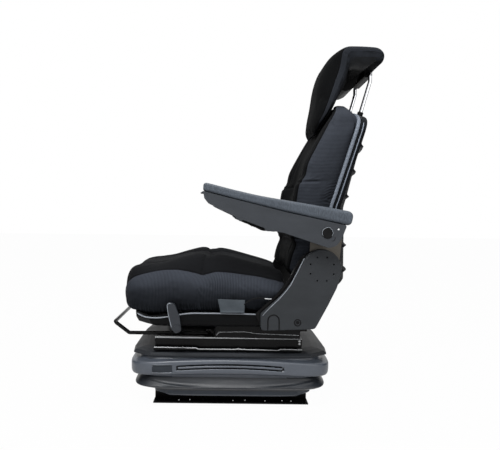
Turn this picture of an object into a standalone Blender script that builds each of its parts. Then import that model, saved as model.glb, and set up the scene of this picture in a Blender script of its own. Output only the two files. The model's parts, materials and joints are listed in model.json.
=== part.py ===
"""Suspended operator seat: rails, scissor suspension with bellows, slides, seat, backrest, headrest and armrests.

Metres, +Z up. The occupant faces -X, and the occupant's left side is at -Y. Z = 0 is the face on which
the mounting rails stand, and X = Y = 0 is the middle of the whole seat.
"""

import math

import bmesh
import bpy
import numpy as np
from mathutils import Matrix, Vector

RUN_GAP = 0.0003
SHAFT_CLEARANCE = 0.0005

# Base rails and tray
RAIL_FRONT_X, RAIL_REAR_X = -0.285, 0.180
RAIL_THICKNESS = 0.004
RAIL_HEIGHT = 0.030
RAIL_HOLE_R = 0.0032
RAIL_HOLE_COUNT = 11
TRAY_WALL = 0.003
TRAY_WALL_HEIGHT = 0.024

# Suspension: two crossed arm frames between the tray and the platform
SUSPENSION_TRAVEL = 0.080
ARM_LENGTH = 0.360
ARM_THICKNESS = 0.005
ARM_HALF_HEIGHT = 0.012
ARM_REAR_X = 0.115
ARM_LOWER_Z, ARM_UPPER_Z = 0.060, 0.125
PIVOT_SHAFT_R = 0.006
CENTRE_PIN_R = 0.006
CENTRE_PIN_PLAY = 0.0012
STIFFENER_R = 0.008
STIFFENER_SHARE = 0.24
ROLLER_R, ROLLER_WIDTH = 0.011, 0.012
TRACK_PLAY = 0.0012
TRACK_WALL = 0.002
EAR_THICKNESS = 0.004
SPRING_R = 0.046
ARM_MIDDLE_X = ARM_REAR_X - ARM_LENGTH / 2
PLATFORM_CENTRE_X = ARM_MIDDLE_X + 0.009
COVER_HALF_X = ARM_LENGTH / 2 + 0.114
COVER_HALF_Y = 0.212
TRAY_CENTRE_X = PLATFORM_CENTRE_X + 0.008
TRAY_HALF_X = COVER_HALF_X - 0.055
TRAY_HALF_Y = COVER_HALF_Y - 0.022
RAIL_WEB_Y, RAIL_FLANGE_Y = TRAY_HALF_Y - 0.072, TRAY_HALF_Y - 0.025
ROLLER_Y = TRAY_HALF_Y - 0.062
OUTER_ARM_Y, INNER_ARM_Y = ROLLER_Y - 0.010, ROLLER_Y - 0.0205

# Bellows: a folded sleeve between the tray and the platform
BELLOWS_WALL = 0.003
BELLOWS_POINTS = 32
BELLOWS_LOW_Z = 0.048
BELLOWS_NECK_Z = 0.0560
BELLOWS_TOP_Z = 0.1510

# Platform, its moulded cover and the fixed slide rails
COVER_WALL = 0.003
COVER_RIM_Z, COVER_TOP_Z = 0.1530, 0.1682
PLATFORM_LOW_Z, PLATFORM_TOP_Z = 0.1513, 0.1553
SLIDE_FRONT_X, SLIDE_REAR_X = -0.278, 0.155
SLIDE_CENTRE_Y = COVER_HALF_Y - 0.042
SLIDE_BASE_Z, SLIDE_TOP_Z = 0.1685, 0.2010
SLIDE_WALL = 0.003
FORE_AFT_TRAVEL = 0.060

# Slide bar
BAR_R = 0.0055
BAR_PIVOT = (-0.120, 0.2115)
BAR_FRONT_X, BAR_FRONT_Z = -0.4015, 0.2440
BAR_KNEE_X = -0.358

# Seat pan, cushion, risers and lever
PAN_CENTRE_X, PAN_HALF_X, PAN_HALF_Y = -0.0865, 0.2515, 0.240
PAN_LIP_Z, PAN_FLOOR_Z, PAN_WALL = 0.285, 0.243, 0.0025
PAN_EDGE_INSET = 0.0085
PAN_DIP, PAN_DIP_X, PAN_DIP_HALF = 0.010, -0.275, 0.045
CUSHION_HALF_Y = PAN_HALF_Y + 0.005
CUSHION_REAR_X = 0.100
TAG_THICKNESS = 0.0013
LEVER_PIVOT = (-0.207, 0.247)
LEVER_INNER_Y, LEVER_THICKNESS = PAN_HALF_Y + 0.0065, 0.012

# Recliners
HUB = (0.197, 0.418)
HUB_R = 0.055
TORQUE_TUBE_R = 0.012
PLATE_THICKNESS = 0.004
UPPER_PLATE_Y = PAN_HALF_Y + 0.0015
LOWER_PLATE_Y = UPPER_PLATE_Y + PLATE_THICKNESS + 0.0015
COVER_DEPTH = 0.020
HUB_HOLE_CIRCLE_R, HUB_HOLE_R, HUB_HOLES = 0.035, 0.0025, 8
COVER_SCREW = (0.130, 0.268)

# Backrest
LEAN = 0.326
SHELL_BEND_Z = 0.590
SHELL_EDGE_X = 0.238
SHELL_LOW_Z, SHELL_TOP_Z = 0.363, 0.885
SHELL_HALF_Y = PAN_HALF_Y - 0.024
SHELL_WALL = 0.0035
SHELL_SIDE_DEPTH = 0.018
SHELL_CROWN = ((0.56, 0.64, 0.70, 0.78, 0.885), (0.048, 0.045, 0.043, 0.040, 0.036))
RIB_PITCH, RIB_FIRST_Z, RIB_COUNT, RIB_HEIGHT, RIB_HALF = 0.0745, 0.403, 6, 0.008, 0.006
FRAME_TUBE_R = 0.007
FRAME_LEG_Y = SHELL_HALF_Y - 0.021
FRAME_BOLT = (SHELL_EDGE_X + FRAME_TUBE_R, 0.500)
FRAME_BOLT_R = 0.006

# Headrest
ROD_Y, ROD_R = 0.092, 0.006
ROD_SLOPE = 0.290
ROD_ENTRY = (0.343, 0.881)
ROD_LOW_Z = 0.725
CROSSBAR = (0.375, 1.021)
HEADREST_TRAVEL = 0.060
SLEEVE_R, SLEEVE_LOW_Z, SLEEVE_TOP_Z = 0.0092, 0.712, 0.893
HEADREST_UNDER_Z = 1.0340
CLAMP_R = 0.0125

# Armrests
ARMREST_PIVOT = (0.201, 0.521)
ARMREST_INNER_Y = UPPER_PLATE_Y + 0.0205
ARMREST_OUTER_Y = ARMREST_INNER_Y + 0.056
PAD_OVERHANG = 0.004
ARMREST_BOLT_R, CAP_R = 0.008, 0.014
WHEEL_CENTRE, WHEEL_R, WHEEL_WIDTH, WHEEL_TEETH = (0.0084, 0.5600), 0.027, 0.020, 22
WHEEL_AXLE_R = 0.003

SIDES = (("left", -1), ("right", 1))


def clear_scene():
    for obj in list(bpy.data.objects):
        bpy.data.objects.remove(obj)


def collection(name):
    made = bpy.data.collections.new(name)
    bpy.context.scene.collection.children.link(made)
    return made


def material(name, colour, roughness, metallic=0.0):
    made = bpy.data.materials.new(name)
    made.use_nodes = True
    surface = made.node_tree.nodes["Principled BSDF"]
    surface.inputs["Base Color"].default_value = (*colour, 1.0)
    surface.inputs["Roughness"].default_value = roughness
    surface.inputs["Metallic"].default_value = metallic
    return made


def finishes():
    return {
        "fabric": material("woven fabric", (0.018, 0.019, 0.022), 0.92),
        "shell": material("moulded shell", (0.085, 0.100, 0.125), 0.42),
        "plastic": material("moulded plastic", (0.045, 0.048, 0.052), 0.55),
        "pad": material("armrest pad", (0.062, 0.070, 0.080), 0.60),
        "rubber": material("bellows rubber", (0.035, 0.040, 0.046), 0.50),
        "steel": material("black lacquered steel", (0.010, 0.010, 0.011), 0.25, 0.3),
        "chrome": material("chrome", (0.70, 0.70, 0.72), 0.10, 1.0),
        "zinc": material("zinc plated steel", (0.45, 0.45, 0.44), 0.35, 1.0),
        "label": material("plain label", (0.110, 0.115, 0.120), 0.50),
    }


class Seat:
    """Keeps the collections, finishes and body empties, and files each new object under them."""

    def __init__(self):
        self.parts = collection("operator_seat")
        self.cutters = collection("cutters")
        self.finish = finishes()
        self.body = {}

    def carrier(self, name, location, parent=None):
        """An empty on a joint's axis, which carries the pieces of one body."""
        empty = bpy.data.objects.new(f"{name}_carrier", None)
        empty.location = location
        self.parts.objects.link(empty)
        if parent:
            empty.parent = self.body[parent]
            empty.matrix_parent_inverse = Matrix.Translation(self.body[parent]["place"]).inverted()
        empty["place"] = location
        self.body[name] = empty

    def carry(self, obj, body, finish):
        """Files a finished piece under its body's empty, with its material, where it already stands."""
        obj.parent = self.body[body]
        obj.matrix_parent_inverse = Matrix.Translation(self.body[body]["place"]).inverted()
        obj.data.materials.clear()
        obj.data.materials.append(self.finish[finish])
        obj.data.shade_smooth()
        obj.data.set_sharp_from_angle(angle=math.radians(35))
        return obj

    def cutter(self, obj):
        self.parts.objects.unlink(obj)
        self.cutters.objects.link(obj)
        obj.hide_render = True
        obj.display_type = "WIRE"
        return obj

    def add(self, name, data):
        obj = bpy.data.objects.new(name, data)
        self.parts.objects.link(obj)
        return obj

    def combine(self, obj, other, operation="UNION"):
        """Joins or cuts a mesh object with another, which becomes a hidden cutter."""
        modifier = obj.modifiers.new(other.name, "BOOLEAN")
        modifier.operation = operation
        modifier.object = self.cutter(other)
        return obj

    def meshed(self, obj):
        """The curve's evaluated solid as a mesh object with welded caps."""
        bpy.context.view_layer.update()
        graph = bpy.context.evaluated_depsgraph_get()
        mesh = bpy.data.meshes.new_from_object(obj.evaluated_get(graph))
        name, place = obj.name, obj.matrix_world.copy()
        bpy.data.objects.remove(obj)
        mesh.name = name
        shape = bmesh.new()
        shape.from_mesh(mesh)
        bmesh.ops.remove_doubles(shape, verts=shape.verts, dist=1e-5)
        shape.to_mesh(mesh)
        shape.free()
        solid = self.add(name, mesh)
        solid.matrix_world = place
        return solid

    def extrusion(self, name, loops, axis, low, high):
        """Flat outlines, the first one outside and the rest holes in it, given thickness along an axis.

        The outlines hold (x, z) pairs for axis Y, (y, z) for axis X and (x, y) for axis Z.
        """
        curve = bpy.data.curves.new(name, "CURVE")
        curve.dimensions = "2D"
        curve.fill_mode = "BOTH"
        curve.extrude = (high - low) / 2
        for loop in loops:
            spline = curve.splines.new("POLY")
            spline.points.add(len(loop) - 1)
            for point, (a, b) in zip(spline.points, loop):
                point.co = (a, b, 0, 1)
            spline.use_cyclic_u = True
        obj = self.add(name, curve)
        middle = (low + high) / 2
        right = math.pi / 2
        obj.rotation_euler = {"X": (right, 0, right), "Y": (right, 0, 0), "Z": (0, 0, 0)}[axis]
        obj.location = {"X": (middle, 0, 0), "Y": (0, middle, 0), "Z": (0, 0, middle)}[axis]
        return self.meshed(obj)

    def side_extrusion(self, name, loops, side, inner, outer):
        """An XZ outline between two distances from the middle plane, on one side of the seat."""
        low, high = sorted((side * inner, side * outer))
        return self.extrusion(name, loops, "Y", low, high)

    def tube(self, name, points, radius, resolution=4, cyclic=False):
        """A round bar along a path."""
        curve = bpy.data.curves.new(name, "CURVE")
        curve.dimensions = "3D"
        curve.bevel_depth = radius
        curve.bevel_resolution = resolution
        curve.use_fill_caps = True
        spline = curve.splines.new("POLY")
        spline.points.add(len(points) - 1)
        for point, place in zip(spline.points, points):
            point.co = (*place, 1)
        spline.use_cyclic_u = cyclic
        return self.meshed(self.add(name, curve))

    def turned(self, name, profile, centre, side=1, steps=24):
        """A turned piece on an axis along Y: the profile holds (radius, distance from the middle plane),
        from the outer end inwards, and starts and ends on the axis."""
        mesh = bpy.data.meshes.new(name)
        points = [(radius, 0, distance) for radius, distance in profile]
        mesh.from_pydata(points, [(i, i + 1) for i in range(len(points) - 1)], [])
        obj = self.add(name, mesh)
        obj.location = (centre[0], 0, centre[1])
        obj.rotation_euler.x = -side * math.pi / 2
        screw = obj.modifiers.new("turn", "SCREW")
        screw.steps = screw.render_steps = steps
        screw.use_merge_vertices = True
        screw.merge_threshold = 1e-5
        return obj

    def loft(self, name, rings, cap_first=True, cap_last=True):
        """A skin through rings of equally many points, closed round each ring."""
        mesh = bpy.data.meshes.new(name)
        shape = bmesh.new()
        rows = [[shape.verts.new(point) for point in ring] for ring in rings]
        count = len(rows[0])
        for lower, upper in zip(rows, rows[1:]):
            for i in range(count):
                j = (i + 1) % count
                shape.faces.new((lower[i], lower[j], upper[j], upper[i]))
        if cap_first:
            shape.faces.new(rows[0][::-1])
        if cap_last:
            shape.faces.new(rows[-1])
        shape.to_mesh(mesh)
        shape.free()
        return self.add(name, mesh)

    def rounded(self, obj, width, segments=2):
        """Rounded edges."""
        bevel = obj.modifiers.new("edges", "BEVEL")
        bevel.width = width
        bevel.segments = segments
        bevel.limit_method = "ANGLE"
        bevel.angle_limit = math.radians(40)
        return obj

    def walled(self, obj, thickness):
        """A wall that grows inwards from an open skin."""
        wall = obj.modifiers.new("wall", "SOLIDIFY")
        wall.thickness = thickness
        wall.offset = -1
        wall.use_even_offset = True
        return obj

    def softened(self, obj, levels=1):
        """A coarse cage made smooth."""
        subdivision = obj.modifiers.new("soft", "SUBSURF")
        subdivision.levels = subdivision.render_levels = levels
        return obj


def circle(centre, radius, count=24, start=0.0):
    """Points round a circle."""
    turns = start + np.arange(count) * 2 * math.pi / count
    return [(centre[0] + radius * math.cos(t), centre[1] + radius * math.sin(t)) for t in turns]


def capsule(first, second, radius, steps=6):
    """A bar's outline with round ends."""
    along = math.atan2(second[1] - first[1], second[0] - first[0])
    points = []
    for centre, start in ((second, along - math.pi / 2), (first, along + math.pi / 2)):
        for i in range(steps + 1):
            turn = start + math.pi * i / steps
            points.append((centre[0] + radius * math.cos(turn), centre[1] + radius * math.sin(turn)))
    return points


def filleted(corners, steps=3):
    """An outline of (a, b, radius) corners, each rounded by an arc of its own radius."""
    points = []
    count = len(corners)
    for i, (a, b, radius) in enumerate(corners):
        here = Vector((a, b))
        to_last = (Vector(corners[i - 1][:2]) - here).normalized()
        to_next = (Vector(corners[(i + 1) % count][:2]) - here).normalized()
        half = to_last.angle(to_next) / 2
        if radius == 0 or abs(half - math.pi / 2) < 0.02:
            points.append((a, b))
            continue
        centre = here + (to_last + to_next).normalized() * radius / math.sin(half)
        first = here + to_last * radius / math.tan(half) - centre
        last = here + to_next * radius / math.tan(half) - centre
        sweep = first.angle_signed(last)
        for k in range(steps + 1):
            share = k / steps
            turned = Matrix.Rotation(-sweep * share, 2) @ first
            points.append(tuple(centre + turned))
    return points


def bent_path(corners, radius, steps=5):
    """A 3D path whose inner corners are rounded by arcs."""
    points = [Vector(corners[0])]
    for last, here, following in zip(corners, corners[1:], corners[2:]):
        last, here, following = Vector(last), Vector(here), Vector(following)
        to_last, to_next = (last - here).normalized(), (following - here).normalized()
        half = to_last.angle(to_next) / 2
        centre = here + (to_last + to_next).normalized() * radius / math.sin(half)
        first = here + to_last * radius / math.tan(half) - centre
        end = here + to_next * radius / math.tan(half) - centre
        for k in range(steps + 1):
            arm = first.lerp(end, k / steps)
            points.append(centre + arm.normalized() * radius)
    points.append(Vector(corners[-1]))
    return points


def plan(centre_x, half_x, half_y, count=40, power=8.0):
    """A rounded rectangle seen from above, as (x, y) points: |x/a|^power + |y/b|^power = 1."""
    turns = (np.arange(count) + 0.5) * 2 * math.pi / count
    across, along = np.cos(turns), np.sin(turns)
    scale = (np.abs(across) ** power + np.abs(along) ** power) ** (-1 / power)
    return [(centre_x + half_x * x, half_y * y) for x, y in zip(across * scale, along * scale)]


def level(outline, z):
    """A plan outline at one height."""
    return [(x, y, z) for x, y in outline]


def mirrored(half):
    """A closed section from its half: (y, z) points from the bottom middle, up the side, to the top middle."""
    return half + [(-y, z) for y, z in reversed(half) if y > 1e-6]


def arm_angle(lift):
    """The arms' angle to the floor when the platform stands that much above its lowest place."""
    return math.asin((ARM_UPPER_Z - ARM_LOWER_Z + lift) / ARM_LENGTH)


def arm_front_x(lift=0.0):
    return ARM_REAR_X - ARM_LENGTH * math.cos(arm_angle(lift))


def shell_edge_x(z):
    """The edge where the cushion meets the backshell: upright below the bend, leaning back above it."""
    return SHELL_EDGE_X + LEAN * max(0.0, z - SHELL_BEND_Z)


def lip_height(x):
    """The pan's lip, with its shallow dip near the front."""
    return PAN_LIP_Z - PAN_DIP * math.exp(-(((x - PAN_DIP_X) / PAN_DIP_HALF) ** 2))


def rod_x(z):
    """The headrest rods' centre line."""
    return ROD_ENTRY[0] + ROD_SLOPE * (z - ROD_ENTRY[1])


def build_base(seat):
    """Mounting rails, tray, roller tracks and lower pivot shaft."""
    seat.carrier("base", (0, 0, 0))
    hole_xs = np.linspace(RAIL_FRONT_X + 0.020, RAIL_REAR_X - 0.020, RAIL_HOLE_COUNT)
    hole_y = (RAIL_WEB_Y + RAIL_FLANGE_Y) / 2 + 0.003
    for name, side in SIDES:
        section = [
            (RAIL_WEB_Y, 0),
            (RAIL_FLANGE_Y, 0),
            (RAIL_FLANGE_Y, RAIL_THICKNESS),
            (RAIL_WEB_Y + RAIL_THICKNESS, RAIL_THICKNESS),
            (RAIL_WEB_Y + RAIL_THICKNESS, RAIL_HEIGHT),
            (RAIL_WEB_Y, RAIL_HEIGHT),
        ]
        section = [(side * y, z) for y, z in section]
        rail = seat.extrusion(f"mounting_rail_{name}", [section], "X", RAIL_FRONT_X, RAIL_REAR_X)
        drills = bmesh.new()
        for x in hole_xs:
            place = Matrix.Translation((x, side * hole_y, 0))
            bmesh.ops.create_cone(
                drills,
                cap_ends=True,
                segments=8,
                radius1=RAIL_HOLE_R,
                radius2=RAIL_HOLE_R,
                depth=4 * RAIL_THICKNESS,
                matrix=place,
            )
        mesh = bpy.data.meshes.new(f"rail_drills_{name}")
        drills.to_mesh(mesh)
        drills.free()
        seat.combine(rail, seat.add(mesh.name, mesh), "DIFFERENCE")
        seat.carry(rail, "base", "steel")

    floor_z = RAIL_HEIGHT + RUN_GAP
    wall_top_z = floor_z + TRAY_WALL_HEIGHT
    rings = []
    for inset, z in ((0.060, floor_z), (0.006, floor_z), (0.0, floor_z + 0.006), (0.0, wall_top_z)):
        outline = plan(TRAY_CENTRE_X, TRAY_HALF_X - inset, TRAY_HALF_Y - inset, BELLOWS_POINTS)
        rings.append(level(outline, z))
    tray = seat.walled(seat.loft("base_tray", rings, cap_first=True, cap_last=False), TRAY_WALL)
    tray_top_z = floor_z + TRAY_WALL
    for name, side in SIDES:
        corners = [
            (ARM_REAR_X - 0.016, floor_z + TRAY_WALL / 2, 0),
            (ARM_REAR_X + 0.016, floor_z + TRAY_WALL / 2, 0),
            (ARM_REAR_X + 0.011, ARM_LOWER_Z + 0.011, 0.008),
            (ARM_REAR_X - 0.011, ARM_LOWER_Z + 0.011, 0.008),
        ]
        hole = circle((ARM_REAR_X, ARM_LOWER_Z), PIVOT_SHAFT_R + RUN_GAP, 16)
        ear = seat.side_extrusion(
            f"lower_ear_{name}", [filleted(corners), hole], side, ROLLER_Y, ROLLER_Y + EAR_THICKNESS
        )
        seat.combine(tray, ear)
    seat.carry(tray, "base", "steel")
    build_tracks(seat, "base", "lower", ARM_LOWER_Z, tray_top_z + RUN_GAP)
    build_pivot_shaft(seat, "lower_pivot_shaft", "base", ARM_LOWER_Z)


def build_tracks(seat, body, level_name, roller_z, foot_z):
    """A channel on each side in which the arms' rollers run, standing on a foot or hanging from one."""
    up = 1 if foot_z < roller_z else -1
    inner_y, outer_y = ROLLER_Y - 0.002, ROLLER_Y + ROLLER_WIDTH + 0.006
    web_y = outer_y - TRACK_WALL
    half = ROLLER_R + TRACK_PLAY
    offsets = [
        (inner_y, -half - TRACK_WALL),
        (web_y, -half - TRACK_WALL),
        (web_y, None),
        (inner_y + 0.004, None),
        (inner_y + 0.004, "foot"),
        (outer_y, "foot"),
        (outer_y, half + TRACK_WALL),
        (inner_y, half + TRACK_WALL),
        (inner_y, half),
        (web_y, half),
        (web_y, -half),
        (inner_y, -half),
    ]
    front, rear = arm_front_x() - ROLLER_R - 0.008, arm_front_x(SUSPENSION_TRAVEL) + ROLLER_R + 0.008
    for name, side in SIDES:
        section = []
        for y, offset in offsets:
            if offset is None:
                z = foot_z + up * TRACK_WALL
            elif offset == "foot":
                z = foot_z
            else:
                z = roller_z + up * offset
            section.append((side * y, z))
        track = seat.extrusion(f"{level_name}_track_{name}", [section], "X", front, rear)
        seat.carry(track, body, "steel")


def build_pivot_shaft(seat, name, body, z):
    """The shaft on which one end of an arm frame turns, held by two ears."""
    half = ROLLER_Y + EAR_THICKNESS + 0.003
    profile = [(0, half), (PIVOT_SHAFT_R, half), (PIVOT_SHAFT_R, -half), (0, -half)]
    seat.carry(seat.turned(name, profile, (ARM_REAR_X, z), steps=16), body, "zinc")


def build_arm_frame(seat, body, name, inner_y, rear_z, front_z):
    """Two arms, the shaft that joins their rolling ends, and a cross tube near their pivots."""
    rear, front = (ARM_REAR_X, rear_z), (arm_front_x(), front_z)
    middle = ((rear[0] + front[0]) / 2, (rear[1] + front[1]) / 2)
    stiffener = (
        rear[0] + (front[0] - rear[0]) * STIFFENER_SHARE,
        rear[1] + (front[1] - rear[1]) * STIFFENER_SHARE,
    )
    is_outer = inner_y == OUTER_ARM_Y
    outline = capsule(rear, front, ARM_HALF_HEIGHT)
    holes = [circle(rear, PIVOT_SHAFT_R + SHAFT_CLEARANCE, 16)]
    if not is_outer:
        holes.append(circle(middle, CENTRE_PIN_R + CENTRE_PIN_PLAY, 16))
    outer_y = inner_y + ARM_THICKNESS
    frame = seat.side_extrusion(name, [outline, *holes], -1, inner_y, outer_y)
    other = seat.side_extrusion(f"{name}_other_arm", [outline, *holes], 1, inner_y, outer_y)
    seat.combine(frame, other)
    shaft_half = ROLLER_Y + ROLLER_WIDTH + 0.0015
    shaft = [(0, shaft_half), (PIVOT_SHAFT_R, shaft_half), (PIVOT_SHAFT_R, -shaft_half), (0, -shaft_half)]
    seat.combine(frame, seat.turned(f"{name}_roller_shaft", shaft, front, steps=16))
    tube_half = inner_y + ARM_THICKNESS / 2
    tube = [(0, tube_half), (STIFFENER_R, tube_half), (STIFFENER_R, -tube_half), (0, -tube_half)]
    seat.combine(frame, seat.turned(f"{name}_stiffener", tube, stiffener, steps=16))
    if is_outer:
        for end, side in SIDES:
            inner, outer = INNER_ARM_Y - 0.003, OUTER_ARM_Y + ARM_THICKNESS + 0.002
            pin = [(0, outer), (CENTRE_PIN_R, outer), (CENTRE_PIN_R, inner), (0, inner)]
            seat.combine(frame, seat.turned(f"centre_pin_{end}", pin, middle, side, 16))
    seat.carry(frame, body, "steel")
    return front


def build_rollers(seat, body, level_name, centre):
    """The rollers on both ends of an arm frame's shaft."""
    for name, side in SIDES:
        carrier = f"{level_name}_roller_{name}"
        middle_y = side * (ROLLER_Y + ROLLER_WIDTH / 2)
        seat.carrier(carrier, (centre[0], middle_y, centre[1]), body)
        bore = circle(centre, PIVOT_SHAFT_R + SHAFT_CLEARANCE, 16)
        rim = circle(centre, ROLLER_R, 20)
        roller = seat.side_extrusion(carrier, [rim, bore], side, ROLLER_Y, ROLLER_Y + ROLLER_WIDTH)
        seat.carry(roller, carrier, "plastic")


def build_suspension(seat):
    """The platform's carrier, the crossed arm frames, their rollers, and the air spring."""
    seat.carrier("platform", (PLATFORM_CENTRE_X, 0, PLATFORM_LOW_Z), "base")
    seat.carrier("outer_arms", (ARM_REAR_X, 0, ARM_LOWER_Z), "base")
    seat.carrier("inner_arms", (ARM_REAR_X, 0, ARM_UPPER_Z), "platform")
    front = build_arm_frame(
        seat, "outer_arms", "outer_arm_frame", OUTER_ARM_Y, ARM_LOWER_Z, ARM_UPPER_Z
    )
    build_rollers(seat, "outer_arms", "upper", front)
    front = build_arm_frame(
        seat, "inner_arms", "inner_arm_frame", INNER_ARM_Y, ARM_UPPER_Z, ARM_LOWER_Z
    )
    build_rollers(seat, "inner_arms", "lower", front)
    build_air_spring(seat)


def build_air_spring(seat):
    """A two-lobed air spring between the tray and the platform."""
    low = RAIL_HEIGHT + TRAY_WALL + 2 * RUN_GAP
    high = PLATFORM_LOW_Z - RUN_GAP
    height = high - low
    rings = []
    levels = np.array([0, 0.04, 0.14, 0.27, 0.40, 0.50, 0.60, 0.73, 0.86, 0.96, 1.0])
    radii = SPRING_R * np.array([0.70, 0.80, 0.97, 1.0, 0.93, 0.78, 0.93, 1.0, 0.97, 0.80, 0.70])
    for share, radius in zip(levels, radii):
        ring = circle((PLATFORM_CENTRE_X, 0), radius, 20)
        rings.append(level(ring, low + share * height))
    spring = seat.loft("air_spring", rings)
    seat.carry(spring, "base", "rubber")


BELLOWS_FOLDS = (
    # height, growth past the cover's half length and half width, rise in the middle of the sides
    (BELLOWS_LOW_Z, -0.0517, -0.0187, 0.0),
    (0.0550, -0.0500, -0.0170, 0.0),
    (0.0570, -0.0300, -0.0040, 0.0),
    (0.0640, -0.0120, 0.0060, 0.0),
    (0.0720, -0.0085, 0.0090, 0.0),
    (0.0820, -0.0110, 0.0070, 0.0),
    (0.0920, -0.0220, -0.0010, 0.002),
    (0.0965, -0.0300, -0.0070, 0.006),
    (0.1000, -0.0220, -0.0010, 0.010),
    (0.1050, -0.0030, 0.0090, 0.012),
    (0.1120, 0.0035, 0.0135, 0.013),
    (0.1280, 0.0040, 0.0140, 0.014),
    (0.1340, -0.0010, 0.0100, 0.014),
    (0.1370, -0.0120, 0.0010, 0.011),
    (0.1410, -0.0200, -0.0060, 0.006),
    (BELLOWS_TOP_Z, -0.0220, -0.0080, 0.0),
)


def build_bellows(seat):
    """The folded sleeve: the lower fold is level, and the upper one rises in the middle of its sides."""
    rings = []
    for z, grow_x, grow_y, rise in BELLOWS_FOLDS:
        half_x, half_y = COVER_HALF_X + grow_x, COVER_HALF_Y + grow_y
        share = min(1.0, max(0.0, (z - BELLOWS_NECK_Z) / 0.010))
        centre = TRAY_CENTRE_X + (PLATFORM_CENTRE_X - TRAY_CENTRE_X) * share
        outline = plan(centre, half_x, half_y, BELLOWS_POINTS)
        rings.append([(x, y, z + rise * (1 - ((x - centre) / half_x) ** 2)) for x, y in outline])
    bellows = seat.loft("bellows", rings, cap_first=False, cap_last=False)
    seat.carry(seat.walled(bellows, BELLOWS_WALL), "base", "rubber")


def build_platform(seat):
    """The steel platform, its moulded cover, the roller tracks under it and the fixed slide rails."""
    inset = COVER_WALL + 0.0004
    outline = plan(PLATFORM_CENTRE_X, COVER_HALF_X - inset, COVER_HALF_Y - inset, BELLOWS_POINTS)
    platform = seat.extrusion("platform_plate", [outline], "Z", PLATFORM_LOW_Z, PLATFORM_TOP_Z)
    joined_z = PLATFORM_LOW_Z + 0.001
    for name, side in SIDES:
        corners = [
            (ARM_REAR_X - 0.016, joined_z, 0),
            (ARM_REAR_X - 0.011, ARM_UPPER_Z - 0.011, 0.008),
            (ARM_REAR_X + 0.011, ARM_UPPER_Z - 0.011, 0.008),
            (ARM_REAR_X + 0.016, joined_z, 0),
        ]
        hole = circle((ARM_REAR_X, ARM_UPPER_Z), PIVOT_SHAFT_R + RUN_GAP, 16)
        ear = seat.side_extrusion(
            f"upper_ear_{name}", [filleted(corners), hole], side, ROLLER_Y, ROLLER_Y + EAR_THICKNESS
        )
        seat.combine(platform, ear)
    seat.carry(platform, "platform", "steel")
    build_tracks(seat, "platform", "upper", ARM_UPPER_Z, PLATFORM_LOW_Z - RUN_GAP)
    build_pivot_shaft(seat, "upper_pivot_shaft", "platform", ARM_UPPER_Z)

    rings = []
    for inset, z in (
        (0.0, COVER_RIM_Z),
        (0.0, COVER_RIM_Z + 0.0045),
        (0.006, COVER_RIM_Z + 0.0095),
        (0.022, COVER_TOP_Z - 0.0020),
        (0.040, COVER_TOP_Z),
        (0.110, COVER_TOP_Z),
    ):
        outline = plan(PLATFORM_CENTRE_X, COVER_HALF_X - inset, COVER_HALF_Y - inset, BELLOWS_POINTS)
        rings.append(level(outline, z))
    cover = seat.loft("top_cover", rings, cap_first=False, cap_last=True)
    seat.carry(seat.walled(cover, COVER_WALL), "platform", "plastic")
    build_lower_slides(seat)


def slide_section(side, corners):
    """A slide's section from (distance from the slide's middle, outwards positive, and height) corners."""
    return [(side * (SLIDE_CENTRE_Y + offset), z) for offset, z in corners]


def build_lower_slides(seat):
    """The fixed rails: a floor with outward lips on two walls, and a bolt at the rear."""
    floor_z = SLIDE_BASE_Z + SLIDE_WALL
    lip_top = SLIDE_TOP_Z - 0.0075
    lip_low = lip_top - SLIDE_WALL
    corners = [
        (-0.0220, SLIDE_BASE_Z),
        (0.0340, SLIDE_BASE_Z),
        (0.0340, floor_z),
        (0.0140, floor_z),
        (0.0140, lip_low),
        (0.0155, lip_low),
        (0.0155, lip_top),
        (0.0110, lip_top),
        (0.0110, floor_z),
        (-0.0110, floor_z),
        (-0.0110, lip_top),
        (-0.0155, lip_top),
        (-0.0155, lip_low),
        (-0.0140, lip_low),
        (-0.0140, floor_z),
        (-0.0220, floor_z),
    ]
    for name, side in SIDES:
        rail = seat.extrusion(
            f"lower_slide_{name}", [slide_section(side, corners)], "X", SLIDE_FRONT_X, SLIDE_REAR_X
        )
        seat.carry(rail, "platform", "steel")
        centre = (SLIDE_REAR_X - 0.010, side * (SLIDE_CENTRE_Y + 0.0270))
        head = seat.extrusion(
            f"slide_bolt_{name}", [circle(centre, 0.0058, 6)], "Z", floor_z + RUN_GAP, floor_z + 0.0045
        )
        seat.carry(head, "platform", "zinc")


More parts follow.
